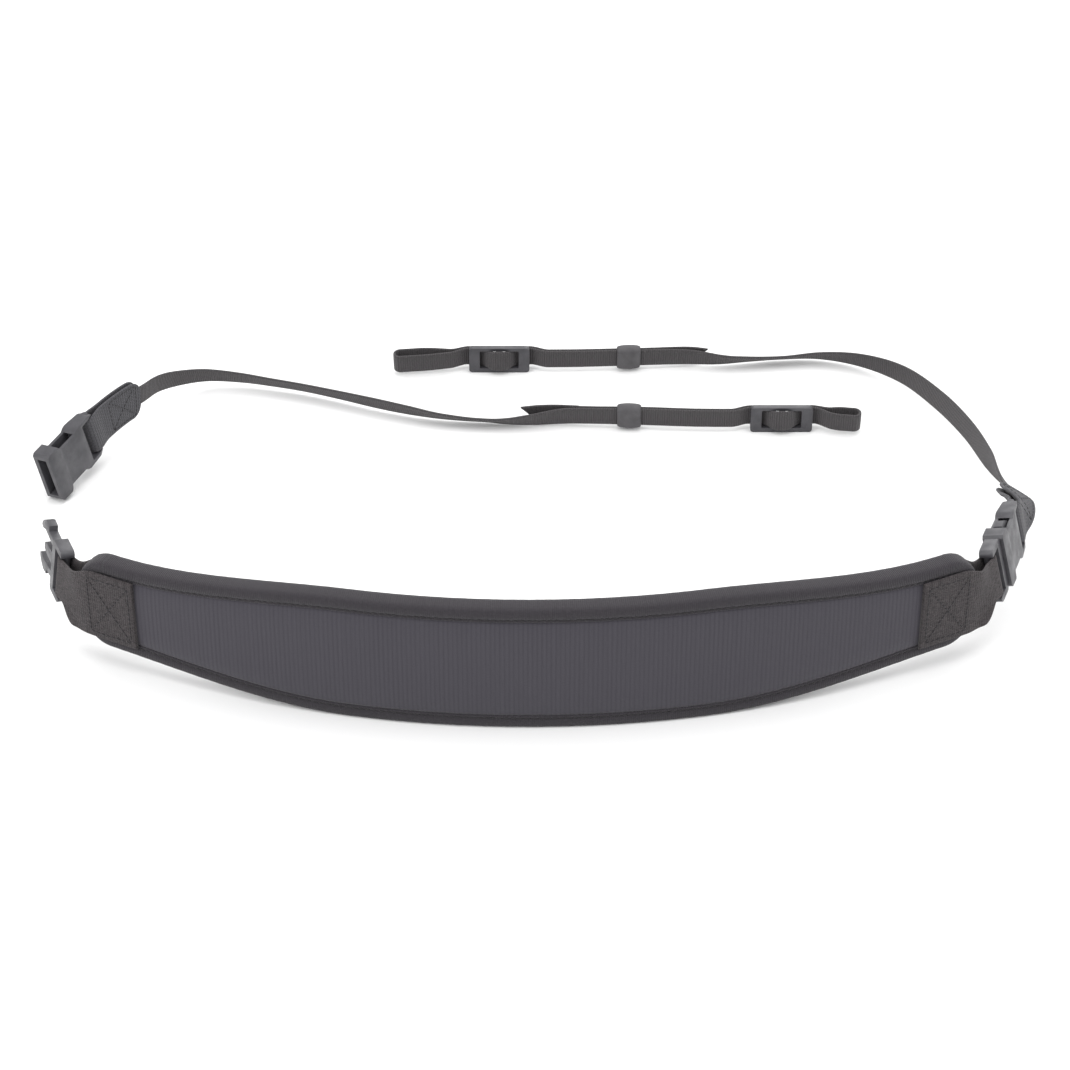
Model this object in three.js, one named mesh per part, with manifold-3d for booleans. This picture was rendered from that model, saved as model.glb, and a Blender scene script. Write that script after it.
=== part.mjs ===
// Camera neck strap standing on its long edge in an open loop, in millimetres, +Z up.
// A padded neoprene band is bent in a C. Each end has a heavy webbing tab that holds the
// pronged half of a side-release buckle. A narrow webbing adapter belongs to each end:
// its sleeve holds the buckle's socket half, and its far end is doubled back through a
// slider and a keeper into a lug loop. The right adapter is buckled on, the left is loose.
import * as THREE from 'three';
import { mergeVertices } from 'three/addons/utils/BufferGeometryUtils.js';
import Module from 'manifold-3d';

const wasm = await Module();
wasm.setup();

const gap = 0.3;
const degree = Math.PI / 180;

// the pad's outline is measured along its mid surface, from the middle to each end
const pad = {
  halfLength: 210,
  height: 68,
  endHeight: 49,
  taperStart: 80,
  cornerRadius: 14,
  thickness: 6.4,
  edgeBevel: 1.6,
  bendRadius: 425,
  stations: 44,
};
const binding = { thickness: 1.1, reach: 7, bevel: 1.5, cornerSteps: 4, edgeSteps: 34 };
const facing = { thickness: 1.0, stations: 36 };
const tab = {
  start: 181,
  thickness: 1.8,
  halfWidth: 19,
  barHalfWidth: 10.3,
  narrowFrom: 214.5,
  narrowTo: 221.6,
  topNarrowFrom: 201,
};

// past arcEnd the tab bends more tightly up to the buckle's bar
const plan = { arcEnd: 204, barAt: 226, barHeading: 54 * degree, twistFrom: 210.5, padY: 5 };
// a tab's top leans inward by twist, and its buckle turns on its bar by barTurn
const leftEnd = { sign: -1, twist: 10 * degree, barTurn: 14 * degree };
const rightEnd = { sign: 1, twist: 17 * degree, barTurn: 17 * degree };

const buckle = {
  halfWidth: 13.8,
  slotHalfWidth: 11,
  barRadius: 1.9,
  baseLength: 12,
  baseThickness: 6.6,
  prongThickness: 4.2,
  slotEnd: 7.4,
  mouthAt: 12.3,
  socketLength: 38,
  socketBarAt: 35.9,
  socketSlotStart: 28.4,
  socketSlotHalfWidth: 10.5,
  cavityDepth: 24,
  cavityHalfWidth: 10.9,
  cavityHalfHeight: 2.7,
};
const sleeve = {
  length: 37,
  thickness: 1.3,
  halfWidth: 9.8,
  endRadius: 6,
  joinAt: 11,
  leadIn: 8,
};
const webbing = {
  thickness: 1.2,
  halfWidth: 5,
  insertion: 16,
  step: 5,
  sliderStep: 1.5,
  tailFlare: 0.9,
};
const layerPitch = webbing.thickness + gap;
const slider = {
  halfLength: 15.5,
  bottom: -7.75,
  top: 6.9,
  thickness: 3,
  windowHalfLength: 10,
  windowHalfHeight: 5.3,
  barHalfWidth: 1.3,
  cornerRadius: 1.8,
};
const keeper = { length: 12, wall: 1.6, clearance: 0.35, cornerRadius: 1.6 };

const colours = {
  neoprene: { color: 0x3f3e45, roughness: 0.9, metalness: 0 },
  facing: { color: 0x504e56, roughness: 0.85, metalness: 0 },
  binding: { color: 0x46434a, roughness: 0.85, metalness: 0 },
  heavyWebbing: { color: 0x48464a, roughness: 0.9, metalness: 0 },
  sleeveWebbing: { color: 0x55555a, roughness: 0.8, metalness: 0 },
  webbing: { color: 0x504e50, roughness: 0.8, metalness: 0 },
  plastic: { color: 0x65656a, roughness: 0.45, metalness: 0 },
  rubber: { color: 0x5c5b60, roughness: 0.6, metalness: 0 },
};

const strap = new THREE.Group();

function addMesh(name, geometry, colour) {
  const mesh = new THREE.Mesh(geometry, new THREE.MeshStandardMaterial(colour));
  mesh.name = name;
  strap.add(mesh);
  return mesh;
}

// A closed solid through rings of points. Open rows of rings get a flat cap at each end.
function loft(rings, closed = false) {
  const count = rings[0].length;
  const spans = closed ? rings.length : rings.length - 1;
  const positions = rings.flat().flatMap((p) => [p.x, p.y, p.z]);
  const index = [];
  for (let i = 0; i < spans; i += 1) {
    const here = i * count;
    const next = ((i + 1) % rings.length) * count;
    for (let j = 0; j < count; j += 1) {
      const k = (j + 1) % count;
      index.push(here + j, here + k, next + k, here + j, next + k, next + j);
    }
  }
  if (!closed) {
    const last = (rings.length - 1) * count;
    for (let j = 1; j < count - 1; j += 1) {
      index.push(0, j + 1, j, last, last + j, last + j + 1);
    }
  }
  const geometry = new THREE.BufferGeometry();
  geometry.setAttribute('position', new THREE.Float32BufferAttribute(positions, 3));
  geometry.setIndex(signedVolume(positions, index) < 0 ? index.reverse() : index);
  return geometry;
}

function signedVolume(positions, index) {
  const corner = (i) => new THREE.Vector3().fromArray(positions, 3 * i);
  let volume = 0;
  for (let i = 0; i < index.length; i += 3) {
    volume += corner(index[i]).dot(corner(index[i + 1]).cross(corner(index[i + 2]))) / 6;
  }
  return volume;
}

// A flat band that follows a path in a plane (along, offset). place() maps along, offset
// and width to space. halfWidthAt() is given the length and the side, 1 or -1, of the
// middle line. startSlant cuts the first end at a slope.
function band(path, thickness, halfWidthAt, place, startSlant = 0) {
  const rings = path.map((point, i) => {
    const before = path[Math.max(i - 1, 0)];
    const after = path[Math.min(i + 1, path.length - 1)];
    const tangent = after.clone().sub(before).normalize();
    const normal = new THREE.Vector2(-tangent.y, tangent.x).multiplyScalar(thickness / 2);
    const slant = i === 0 ? startSlant / 2 : 0;
    const at = (side, end) => {
      const along = point.x + side * normal.x + end * slant;
      return place(along, point.y + side * normal.y, end * halfWidthAt(point.x, end));
    };
    return [at(1, 1), at(1, -1), at(-1, -1), at(-1, 1)];
  });
  return loft(rings);
}

function toManifold(geometry) {
  const bare = geometry.clone();
  bare.deleteAttribute('normal');
  bare.deleteAttribute('uv');
  const merged = mergeVertices(bare, 1e-4);
  return new wasm.Manifold(new wasm.Mesh({
    numProp: 3,
    vertProperties: new Float32Array(merged.attributes.position.array),
    triVerts: new Uint32Array(merged.index.array),
  }));
}

function fromManifold(solid) {
  const mesh = solid.getMesh();
  const geometry = new THREE.BufferGeometry();
  geometry.setAttribute('position', new THREE.Float32BufferAttribute(mesh.vertProperties, 3));
  geometry.setIndex([...mesh.triVerts]);
  return geometry;
}

// Puts a mesh at a point with its X axis along a direction and its Z axis along a width.
function placeAlong(mesh, position, direction, width) {
  const across = width.clone().cross(direction).normalize();
  const up = direction.clone().cross(across).normalize();
  const basis = new THREE.Matrix4().makeBasis(direction.clone().normalize(), across, up);
  mesh.quaternion.setFromRotationMatrix(basis);
  mesh.position.copy(position);
}

// -- Shapes that are extruded across the thickness (Y) or along the strap (X)

function extrude(shape, depth) {
  const settings = { depth, bevelEnabled: false, curveSegments: 4 };
  const geometry = new THREE.ExtrudeGeometry(shape, settings);
  return geometry.translate(0, 0, -depth / 2);
}

const axisX = new THREE.Vector3(1, 0, 0);
const axisY = new THREE.Vector3(0, 1, 0);
const axisZ = new THREE.Vector3(0, 0, 1);

function acrossThickness(shape, depth) {
  const turn = new THREE.Matrix4().makeBasis(axisX, axisZ, axisY.clone().negate());
  return extrude(shape, depth).applyMatrix4(turn);
}

function alongStrap(shape, depth) {
  const turn = new THREE.Matrix4().makeBasis(axisY, axisZ, axisX);
  return extrude(shape, depth).applyMatrix4(turn);
}

function roundedRectangle(x0, y0, x1, y1, r, Kind = THREE.Shape) {
  const outline = new Kind();
  outline.moveTo(x0 + r, y0);
  outline.lineTo(x1 - r, y0);
  outline.absarc(x1 - r, y0 + r, r, -Math.PI / 2, 0, false);
  outline.lineTo(x1, y1 - r);
  outline.absarc(x1 - r, y1 - r, r, 0, Math.PI / 2, false);
  outline.lineTo(x0 + r, y1);
  outline.absarc(x0 + r, y1 - r, r, Math.PI / 2, Math.PI, false);
  outline.lineTo(x0, y0 + r);
  outline.absarc(x0 + r, y0 + r, r, Math.PI, 1.5 * Math.PI, false);
  return outline;
}

// a box from x0 to x1, centred on the other two axes
function centredBox(x0, x1, thickness, width) {
  const box = new THREE.BoxGeometry(x1 - x0, thickness, width);
  return toManifold(box.translate((x0 + x1) / 2, 0, 0));
}

// an outline that is the same on both sides of the X axis, from rows of along and out
function mirroredShape(rows) {
  const upper = rows.map((row) => new THREE.Vector2(row.along, row.out));
  const lower = rows.map((row) => new THREE.Vector2(row.along, -row.out)).reverse();
  return new THREE.Shape([...upper, ...lower]);
}

// -- The pad and what is sewn on it

function smoothStep(value, from, to) {
  const t = Math.min(Math.max((value - from) / (to - from), 0), 1);
  return t * t * (3 - 2 * t);
}

function padHalfHeight(s, inset = 0) {
  const reach = Math.abs(s);
  const cornerAt = pad.halfLength - pad.cornerRadius;
  const drop = (pad.height - pad.endHeight) / 2;
  const straight = pad.height / 2 - drop * smoothStep(reach, pad.taperStart, cornerAt);
  if (reach <= cornerAt) {
    return straight - inset;
  }
  const radius = pad.cornerRadius - inset;
  const past = Math.min(reach - cornerAt, radius);
  return pad.endHeight / 2 - pad.cornerRadius + Math.sqrt(radius * radius - past * past);
}

// place and heading in plan at a length s from the pad's middle, for the right half
function planAt(reach) {
  const arcAngle = Math.min(reach, plan.arcEnd) / pad.bendRadius;
  const point = new THREE.Vector2(Math.sin(arcAngle), 1 - Math.cos(arcAngle));
  point.multiplyScalar(pad.bendRadius);
  const turn = plan.barHeading - plan.arcEnd / pad.bendRadius;
  const radius = (plan.barAt - plan.arcEnd) / turn;
  const past = Math.min(Math.max(reach - plan.arcEnd, 0), plan.barAt - plan.arcEnd);
  const heading = arcAngle + past / radius;
  point.x += radius * (Math.sin(heading) - Math.sin(arcAngle));
  point.y += radius * (Math.cos(arcAngle) - Math.cos(heading));
  const beyond = Math.max(reach - plan.barAt, 0);
  point.x += beyond * Math.cos(heading);
  point.y += beyond * Math.sin(heading);
  return { point, heading };
}

// from length along the pad, distance out of its mid surface and height above its middle
function onPad(s, out, height) {
  const end = s < 0 ? leftEnd : rightEnd;
  const { point, heading } = planAt(Math.abs(s));
  const twist = end.twist * smoothStep(Math.abs(s), plan.twistFrom, tab.narrowTo);
  const outTurned = out * Math.cos(twist) - height * Math.sin(twist);
  const heightTurned = height * Math.cos(twist) + out * Math.sin(twist);
  return new THREE.Vector3(
    end.sign * (point.x + outTurned * Math.sin(heading)),
    plan.padY + point.y - outTurned * Math.cos(heading),
    pad.height / 2 + heightTurned,
  );
}

// the buckle's bar at one end of the strap, and the way the buckle points from it
function barFrame(end) {
  const point = onPad(end.sign * plan.barAt, 0, 0);
  const width = onPad(end.sign * plan.barAt, 0, 1).sub(point).normalize();
  const heading = plan.barHeading;
  const tabDirection = new THREE.Vector3(end.sign * Math.cos(heading), Math.sin(heading), 0);
  const direction = tabDirection.applyAxisAngle(width, end.sign * end.barTurn);
  return { point, width, direction };
}

// lengths that are closer together in the rounded ends, bevelFrom before the very end
function padStations(halfLength, cornerRadius, count, bevelFrom) {
  const cornerAt = halfLength - cornerRadius;
  const stations = [];
  for (let i = 0; i <= count; i += 1) {
    stations.push(cornerAt * (2 * i / count - 1));
  }
  const turns = [0.4, 0.7].map((part) => cornerAt + cornerRadius * part);
  turns.push(halfLength - bevelFrom, halfLength);
  return [...turns.map((s) => -s).reverse(), ...stations, ...turns];
}

function makePad() {
  const inset = binding.thickness + gap + 0.1;
  const out = pad.thickness / 2;
  const bevel = pad.edgeBevel;
  const faceEnd = pad.halfLength - inset - bevel;
  const radius = pad.cornerRadius - inset;
  const lengths = padStations(pad.halfLength - inset, radius, pad.stations, bevel);
  return loft(lengths.map((s) => {
    const edge = padHalfHeight(s, inset);
    const past = Math.max(Math.abs(s) - faceEnd, 0);
    const face = padHalfHeight(Math.min(Math.abs(s), faceEnd), inset + bevel) - past;
    const faceOut = out - past;
    return [
      onPad(s, faceOut, face), onPad(s, out - bevel, edge),
      onPad(s, bevel - out, edge), onPad(s, -faceOut, face),
      onPad(s, -faceOut, -face), onPad(s, bevel - out, -edge),
      onPad(s, out - bevel, -edge), onPad(s, faceOut, -face),
    ];
  }));
}

function makeFacing() {
  const inset = binding.reach + gap;
  const inner = pad.thickness / 2 + gap;
  const outer = inner + facing.thickness;
  const radius = pad.cornerRadius - inset;
  const lengths = padStations(pad.halfLength - inset, radius, facing.stations, 0.1 * radius);
  return loft(lengths.map((s) => {
    const half = padHalfHeight(s, inset);
    return [onPad(s, outer, half), onPad(s, inner, half), onPad(s, inner, -half), onPad(s, outer, -half)];
  }));
}

// the pad's outline as points of length and height, clockwise from the top left
function padOutline() {
  const cornerAt = pad.halfLength - pad.cornerRadius;
  const cornerHeight = pad.endHeight / 2 - pad.cornerRadius;
  const quarter = [];
  for (let i = 0; i < binding.cornerSteps; i += 1) {
    const angle = (Math.PI / 2) * (1 - (i + 0.5) / binding.cornerSteps);
    quarter.push(new THREE.Vector2(
      cornerAt + pad.cornerRadius * Math.cos(angle),
      cornerHeight + pad.cornerRadius * Math.sin(angle),
    ));
  }
  const top = [];
  for (let i = 0; i <= binding.edgeSteps; i += 1) {
    const s = cornerAt * (2 * i / binding.edgeSteps - 1);
    top.push(new THREE.Vector2(s, padHalfHeight(s)));
  }
  const end = [new THREE.Vector2(pad.halfLength, cornerHeight)];
  const half = [...top, ...quarter, ...end];
  const turned = half.map((p) => new THREE.Vector2(-p.x, -p.y));
  const lowerRight = [...quarter, ...end].map((p) => new THREE.Vector2(p.x, -p.y)).reverse();
  const upperLeft = [...quarter, ...end].map((p) => new THREE.Vector2(-p.x, p.y)).reverse();
  return [...half, ...lowerRight, ...turned, ...upperLeft];
}

function makeBinding() {
  const inner = pad.thickness / 2 + gap;
  const outer = inner + binding.thickness;
  const { reach, bevel, thickness } = binding;
  // one side of the folded tape: how far in from the pad's edge, how far out of its middle
  const outside = [{ inward: reach, out: outer }, { inward: bevel, out: outer }, { inward: 0, out: outer - bevel }];
  const inside = [{ inward: thickness, out: inner - bevel }, { inward: bevel, out: inner }, { inward: reach, out: inner }];
  const flip = (rows) => rows.map((row) => ({ inward: row.inward, out: -row.out })).reverse();
  const section = [...outside, ...flip(outside), ...flip(inside), ...inside];
  const outline = padOutline();
  const rings = outline.map((point, i) => {
    const before = outline[(i + outline.length - 1) % outline.length];
    const after = outline[(i + 1) % outline.length];
    const tangent = after.clone().sub(before).normalize();
    const inward = new THREE.Vector2(tangent.y, -tangent.x);
    return section.map((row) => {
      const flat = point.clone().addScaledVector(inward, row.inward);
      return onPad(flat.x, row.out, flat.y);
    });
  });
  return loft(rings, true);
}

// The tab leaves the pad's outer face, folds round the buckle's bar and comes back behind.
function makeTab(sign) {
  const faceOut = pad.thickness / 2 + gap + binding.thickness + gap + tab.thickness / 2;
  const foldRadius = buckle.barRadius + gap + tab.thickness / 2;
  const legEnd = pad.halfLength - 4;
  const leg = new THREE.CurvePath();
  leg.add(new THREE.CubicBezierCurve(
    new THREE.Vector2(legEnd, faceOut),
    new THREE.Vector2(legEnd + 8, faceOut),
    new THREE.Vector2(plan.barAt - 8, foldRadius),
    new THREE.Vector2(plan.barAt, foldRadius),
  ));
  const outerLeg = [];
  const straightSteps = 4;
  for (let i = 0; i < straightSteps; i += 1) {
    outerLeg.push(new THREE.Vector2(tab.start + (legEnd - tab.start) * i / straightSteps, faceOut));
  }
  outerLeg.push(...leg.getSpacedPoints(11));
  const fold = [];
  const foldSteps = 8;
  for (let i = 1; i < foldSteps; i += 1) {
    const angle = Math.PI / 2 - Math.PI * i / foldSteps;
    fold.push(new THREE.Vector2(
      plan.barAt + foldRadius * Math.cos(angle),
      foldRadius * Math.sin(angle),
    ));
  }
  const innerLeg = outerLeg.map((p) => new THREE.Vector2(p.x, -p.y)).reverse();
  const narrowing = tab.halfWidth - tab.barHalfWidth;
  const halfWidthAt = (s, end) => {
    const from = end > 0 ? tab.topNarrowFrom : tab.narrowFrom;
    return tab.halfWidth - narrowing * smoothStep(s, from, tab.narrowTo);
  };
  const place = (s, out, height) => onPad(sign * s, out, height);
  return band([...outerLeg, ...fold, ...innerLeg], tab.thickness, halfWidthAt, place);
}

// -- Side-release buckle. X runs from the bar to the tips, Z is the width.

function barAlongWidth(x) {
  const bar = new THREE.CylinderGeometry(
    buckle.barRadius, buckle.barRadius, 2 * buckle.slotHalfWidth + 2, 10,
  );
  return toManifold(bar.rotateX(Math.PI / 2).translate(x, 0, 0));
}

function makePlug() {
  const { halfWidth, baseLength, baseThickness, prongThickness, slotEnd } = buckle;
  const outline = roundedRectangle(-buckle.barRadius, -halfWidth, baseLength, halfWidth, 2.5);
  const base = toManifold(acrossThickness(outline, baseThickness));
  const slot = centredBox(-2 * buckle.barRadius, slotEnd, 2 * baseThickness, 2 * buckle.slotHalfWidth);
  const guide = mirroredShape([
    { along: baseLength - 1, out: 3.4 },
    { along: 24, out: 2.6 },
    { along: 27.5, out: 1.5 },
  ]);
  // a side arm: out along its outer edge with the catch, and back along its inner edge
  const arm = [
    { along: baseLength - 1, out: 10 },
    { along: 22.2, out: 10.5 },
    { along: 22.7, out: 13.1 },
    { along: 27.5, out: 13.4 },
    { along: 31.2, out: 11.4 },
    { along: 33.4, out: 9.2 },
    { along: 33.6, out: 7.6 },
    { along: 31.8, out: 6.8 },
    { along: 28, out: 8.2 },
    { along: 21, out: 7.6 },
    { along: baseLength - 1, out: 6.6 },
  ];
  const armShape = (side) => new THREE.Shape(arm.map((row) => new THREE.Vector2(row.along, side * row.out)));
  return [guide, armShape(1), armShape(-1)]
    .map((shape) => toManifold(acrossThickness(shape, prongThickness)))
    .reduce((solid, prong) => solid.add(prong), base.subtract(slot).add(barAlongWidth(0)));
}

function makeSocket() {
  const { halfWidth, socketLength, socketBarAt, socketSlotStart, socketSlotHalfWidth } = buckle;
  const outline = mirroredShape([
    { along: 0, out: halfWidth - 1.2 },
    { along: 1.2, out: halfWidth },
    { along: 8, out: halfWidth },
    { along: 9.2, out: 12.2 },
    { along: 9.8, out: 10.7 },
    { along: 21.6, out: 10.7 },
    { along: 23, out: 11.8 },
    { along: 25, out: halfWidth - 1.3 },
    { along: 35, out: halfWidth - 1.5 },
    { along: socketLength, out: halfWidth - 3 },
  ]);
  const profile = mirroredShape([
    { along: 0, out: 4.9 },
    { along: 8.5, out: 4.9 },
    { along: 11, out: 4.4 },
    { along: 25, out: 4.3 },
    { along: 34, out: 3.5 },
    { along: socketLength, out: 2.6 },
  ]);
  const shell = toManifold(acrossThickness(outline, 3 * halfWidth))
    .intersect(toManifold(extrude(profile, 3 * halfWidth)));
  const cavity = centredBox(-1, buckle.cavityDepth, 2 * buckle.cavityHalfHeight, 2 * buckle.cavityHalfWidth);
  const slot = centredBox(socketSlotStart, 2 * socketLength, 2 * halfWidth, 2 * socketSlotHalfWidth);
  return shell.subtract(cavity).subtract(slot).add(barAlongWidth(socketBarAt));
}

function makeSleeve(route) {
  const foldRadius = buckle.barRadius + gap + sleeve.thickness / 2;
  const legOut = (sleeve.thickness + webbing.thickness) / 2 + gap;
  const neck = new THREE.CubicBezierCurve(
    new THREE.Vector2(sleeve.joinAt, legOut),
    new THREE.Vector2(sleeve.joinAt - 5, legOut),
    new THREE.Vector2(5, foldRadius),
    new THREE.Vector2(0, foldRadius),
  );
  const cornerAt = sleeve.length - sleeve.endRadius;
  const ends = [1, 0.93, 0.75, 0.45].map((part) => cornerAt + sleeve.endRadius * part);
  const legSteps = 6;
  const leg = ends.map((x) => new THREE.Vector2(x, legOut));
  for (let i = 0; i < legSteps; i += 1) {
    leg.push(new THREE.Vector2(cornerAt + (sleeve.joinAt - cornerAt) * i / legSteps, legOut));
  }
  const upper = [...leg, ...neck.getPoints(5)];
  const fold = [];
  const foldSteps = 8;
  for (let i = 1; i < foldSteps; i += 1) {
    const angle = Math.PI / 2 + Math.PI * i / foldSteps;
    fold.push(new THREE.Vector2(foldRadius * Math.cos(angle), foldRadius * Math.sin(angle)));
  }
  const lower = upper.map((p) => new THREE.Vector2(p.x, -p.y)).reverse();
  const halfWidthAt = (x) => {
    const past = Math.min(Math.max(x - cornerAt, 0), sleeve.endRadius);
    const round = sleeve.endRadius - Math.sqrt(sleeve.endRadius ** 2 - past ** 2);
    return sleeve.halfWidth - round;
  };
  const place = (x, out, width) => route.place(sleeve.leadIn + x, out, width);
  return band([...upper, ...fold, ...lower], sleeve.thickness, halfWidthAt, place);
}

// -- Slider and keeper

function makeSlider() {
  const { halfLength, bottom, top, cornerRadius, windowHalfLength, windowHalfHeight } = slider;
  const outline = roundedRectangle(-halfLength, bottom, halfLength, top, cornerRadius);
  for (const [x0, x1] of [[-windowHalfLength, -slider.barHalfWidth], [slider.barHalfWidth, windowHalfLength]]) {
    outline.holes.push(roundedRectangle(x0, -windowHalfHeight, x1, windowHalfHeight, 0.6, THREE.Path));
  }
  return acrossThickness(outline, slider.thickness);
}

function makeKeeper() {
  const { wall, clearance, cornerRadius, length } = keeper;
  const halfDepth = webbing.thickness + gap / 2 + clearance;
  const halfHeight = webbing.halfWidth + clearance;
  const outline = roundedRectangle(
    -halfDepth - wall, -halfHeight - wall, halfDepth + wall, halfHeight + wall, cornerRadius,
  );
  outline.holes.push(roundedRectangle(-halfDepth, -halfHeight, halfDepth, halfHeight, 0.3, THREE.Path));
  return alongStrap(outline, length);
}

// -- Narrow webbing

// A strap's route: place and lean of its width at a length along it.
function makeRoute(rows) {
  const curve = new THREE.CatmullRomCurve3(rows.map((r) => new THREE.Vector3(r.x, r.y, r.z)), false, 'centripetal');
  const leans = new THREE.CatmullRomCurve3(rows.map((r) => new THREE.Vector3(r.lean * degree, 0, 0)), false, 'catmullrom');
  curve.arcLengthDivisions = 400;
  const length = curve.getLength();
  const frameAt = (along) => {
    const t = curve.getUtoTmapping(0, Math.min(Math.max(along, 0), length));
    const direction = curve.getTangent(t);
    const beyond = along - Math.min(Math.max(along, 0), length);
    const point = curve.getPoint(t).addScaledVector(direction, beyond);
    const lean = leans.getPoint(t).x;
    const left = axisZ.clone().cross(direction).normalize();
    const rise = direction.clone().cross(left);
    const width = rise.clone().multiplyScalar(Math.cos(lean)).addScaledVector(left, Math.sin(lean));
    const normal = width.clone().cross(direction);
    return { point, direction, width, normal };
  };
  const place = (along, out, across) => {
    const frame = frameAt(along);
    return frame.point.addScaledVector(frame.normal, out).addScaledVector(frame.width, across);
  };
  // the length at which the route's last stretch passes an x
  const lengthAtX = (x) => {
    let along = length;
    while (along > 0 && Math.sign(frameAt(along).point.x - x) === Math.sign(rows.at(-1).x - x)) {
      along -= 0.25;
    }
    return along;
  };
  return { length, frameAt, place, lengthAtX };
}

// Layers of webbing near the slider. Their middle line passes behind the slider's end
// bars and in front of its centre bar; front is +1 or -1, the side that faces forward.
function makeLayers(route, sliderAt, tailEndAt, front) {
  const swing = slider.thickness / 2 + gap / 2 + layerPitch / 2 + webbing.thickness / 2;
  const { halfLength, barHalfWidth } = slider;
  const flatFrom = barHalfWidth - 0.3;
  const flatTo = slider.windowHalfLength + 0.5;
  const easeTo = halfLength + 10;
  const middle = (along) => {
    const reach = Math.abs(along - sliderAt);
    if (reach >= flatTo) {
      return -front * swing * (1 - smoothStep(reach, halfLength, easeTo));
    }
    const turn = Math.min(Math.max((reach - flatFrom) / (flatTo - flatFrom), 0), 1);
    return front * swing * Math.cos(Math.PI * turn);
  };
  const offsetPoint = (along, out) => {
    const slope = (middle(along + 0.1) - middle(along - 0.1)) / 0.2;
    const normal = new THREE.Vector2(-slope, 1).normalize();
    return new THREE.Vector2(along, middle(along)).addScaledVector(normal, out);
  };
  // stations that both layers share, close together where they bend through the slider
  const stations = [];
  for (let reach = 0; reach < sliderAt;) {
    stations.push(sliderAt - reach, sliderAt + reach);
    reach += reach < easeTo ? webbing.sliderStep : webbing.step;
  }
  stations.sort((a, b) => a - b);
  const lengths = (from, to) => {
    const between = stations.filter((along, i) => along > from + 0.5 && along < to - 0.5
      && along !== stations[i - 1]);
    return [from, ...between, to];
  };
  const runOut = (along) => front * layerPitch / 2 * smoothStep(along, tailEndAt - 25, tailEndAt - 5);
  return { middle, offsetPoint, lengths, runOut };
}

// An adapter: the sleeve round the socket's bar, the webbing in three stretches that are
// one strap on the real thing, and its slider and keeper.
function addAdapter(side, rows, sizes) {
  const route = makeRoute(rows);
  addMesh(`sleeve_${side}`, makeSleeve(route), colours.sleeveWebbing);
  const sliderAt = route.lengthAtX(sizes.sliderX);
  const tailEndAt = route.lengthAtX(sizes.tailEndX);
  const keeperAt = route.lengthAtX(sizes.keeperX);
  const { front } = sizes;
  const layers = makeLayers(route, sliderAt, tailEndAt, front);
  const splitAt = sliderAt + slider.halfLength + 1;
  const half = () => webbing.halfWidth;

  const runStart = sleeve.leadIn + sleeve.length - webbing.insertion;
  const run = layers.lengths(runStart, splitAt).map((a) => layers.offsetPoint(a, layers.runOut(a)));
  addMesh(`webbing_${side}`, band(run, webbing.thickness, half, route.place), colours.webbing);

  const tailOut = (a) => -front * (layerPitch / 2 + webbing.tailFlare * (1 - smoothStep(a, tailEndAt, tailEndAt + 25)));
  const tail = layers.lengths(tailEndAt, splitAt).map((a) => layers.offsetPoint(a, tailOut(a)));
  const tailBand = band(tail, webbing.thickness, half, route.place, sizes.tailSlant);
  addMesh(`webbing_tail_${side}`, tailBand, colours.webbing);

  // the lug loop opens to loopHalfGap each side of the middle line
  const loopStart = splitAt + gap;
  const tipAt = route.length;
  const turnRadius = sizes.loopHalfGap + webbing.thickness / 2;
  const turnCentre = tipAt - turnRadius;
  const frontSide = [];
  const loopSteps = 6;
  for (let i = 0; i < loopSteps; i += 1) {
    const along = loopStart + (turnCentre - loopStart) * i / loopSteps;
    const spread = smoothStep(along, loopStart, loopStart + 0.7 * (turnCentre - loopStart));
    const out = layerPitch / 2 + (turnRadius - layerPitch / 2) * spread;
    frontSide.push({ along, out });
  }
  const turn = [];
  const turnSteps = 7;
  for (let i = 0; i <= turnSteps; i += 1) {
    const angle = Math.PI / 2 - Math.PI * i / turnSteps;
    turn.push({ along: turnCentre + turnRadius * Math.cos(angle), out: turnRadius * Math.sin(angle) });
  }
  const backSide = frontSide.map((row) => ({ along: row.along, out: -row.out })).reverse();
  const loop = [...frontSide, ...turn, ...backSide]
    .map((row) => new THREE.Vector2(row.along, layers.middle(row.along) + row.out));
  addMesh(`lug_loop_${side}`, band(loop, webbing.thickness, half, route.place), colours.webbing);

  const atSlider = route.frameAt(sliderAt);
  const sliderMesh = addMesh(`slider_${side}`, makeSlider(), colours.plastic);
  placeAlong(sliderMesh, atSlider.point, atSlider.direction, atSlider.width);
  const atKeeper = route.frameAt(keeperAt);
  const keeperMesh = addMesh(`keeper_${side}`, makeKeeper(), colours.rubber);
  placeAlong(keeperMesh, atKeeper.point, atKeeper.direction, atKeeper.width);
}

// a direction from its heading in plan and its slope, both in degrees
function directionOf(heading, slope = 0) {
  const flat = Math.cos(slope * degree);
  return new THREE.Vector3(
    flat * Math.cos(heading * degree),
    flat * Math.sin(heading * degree),
    Math.sin(slope * degree),
  );
}

// a width axis that leans to the left of a direction by an angle
function leaningWidth(direction, lean) {
  const left = axisZ.clone().cross(direction).normalize();
  const rise = direction.clone().cross(left);
  return rise.multiplyScalar(Math.cos(lean * degree)).addScaledVector(left, Math.sin(lean * degree));
}

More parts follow.
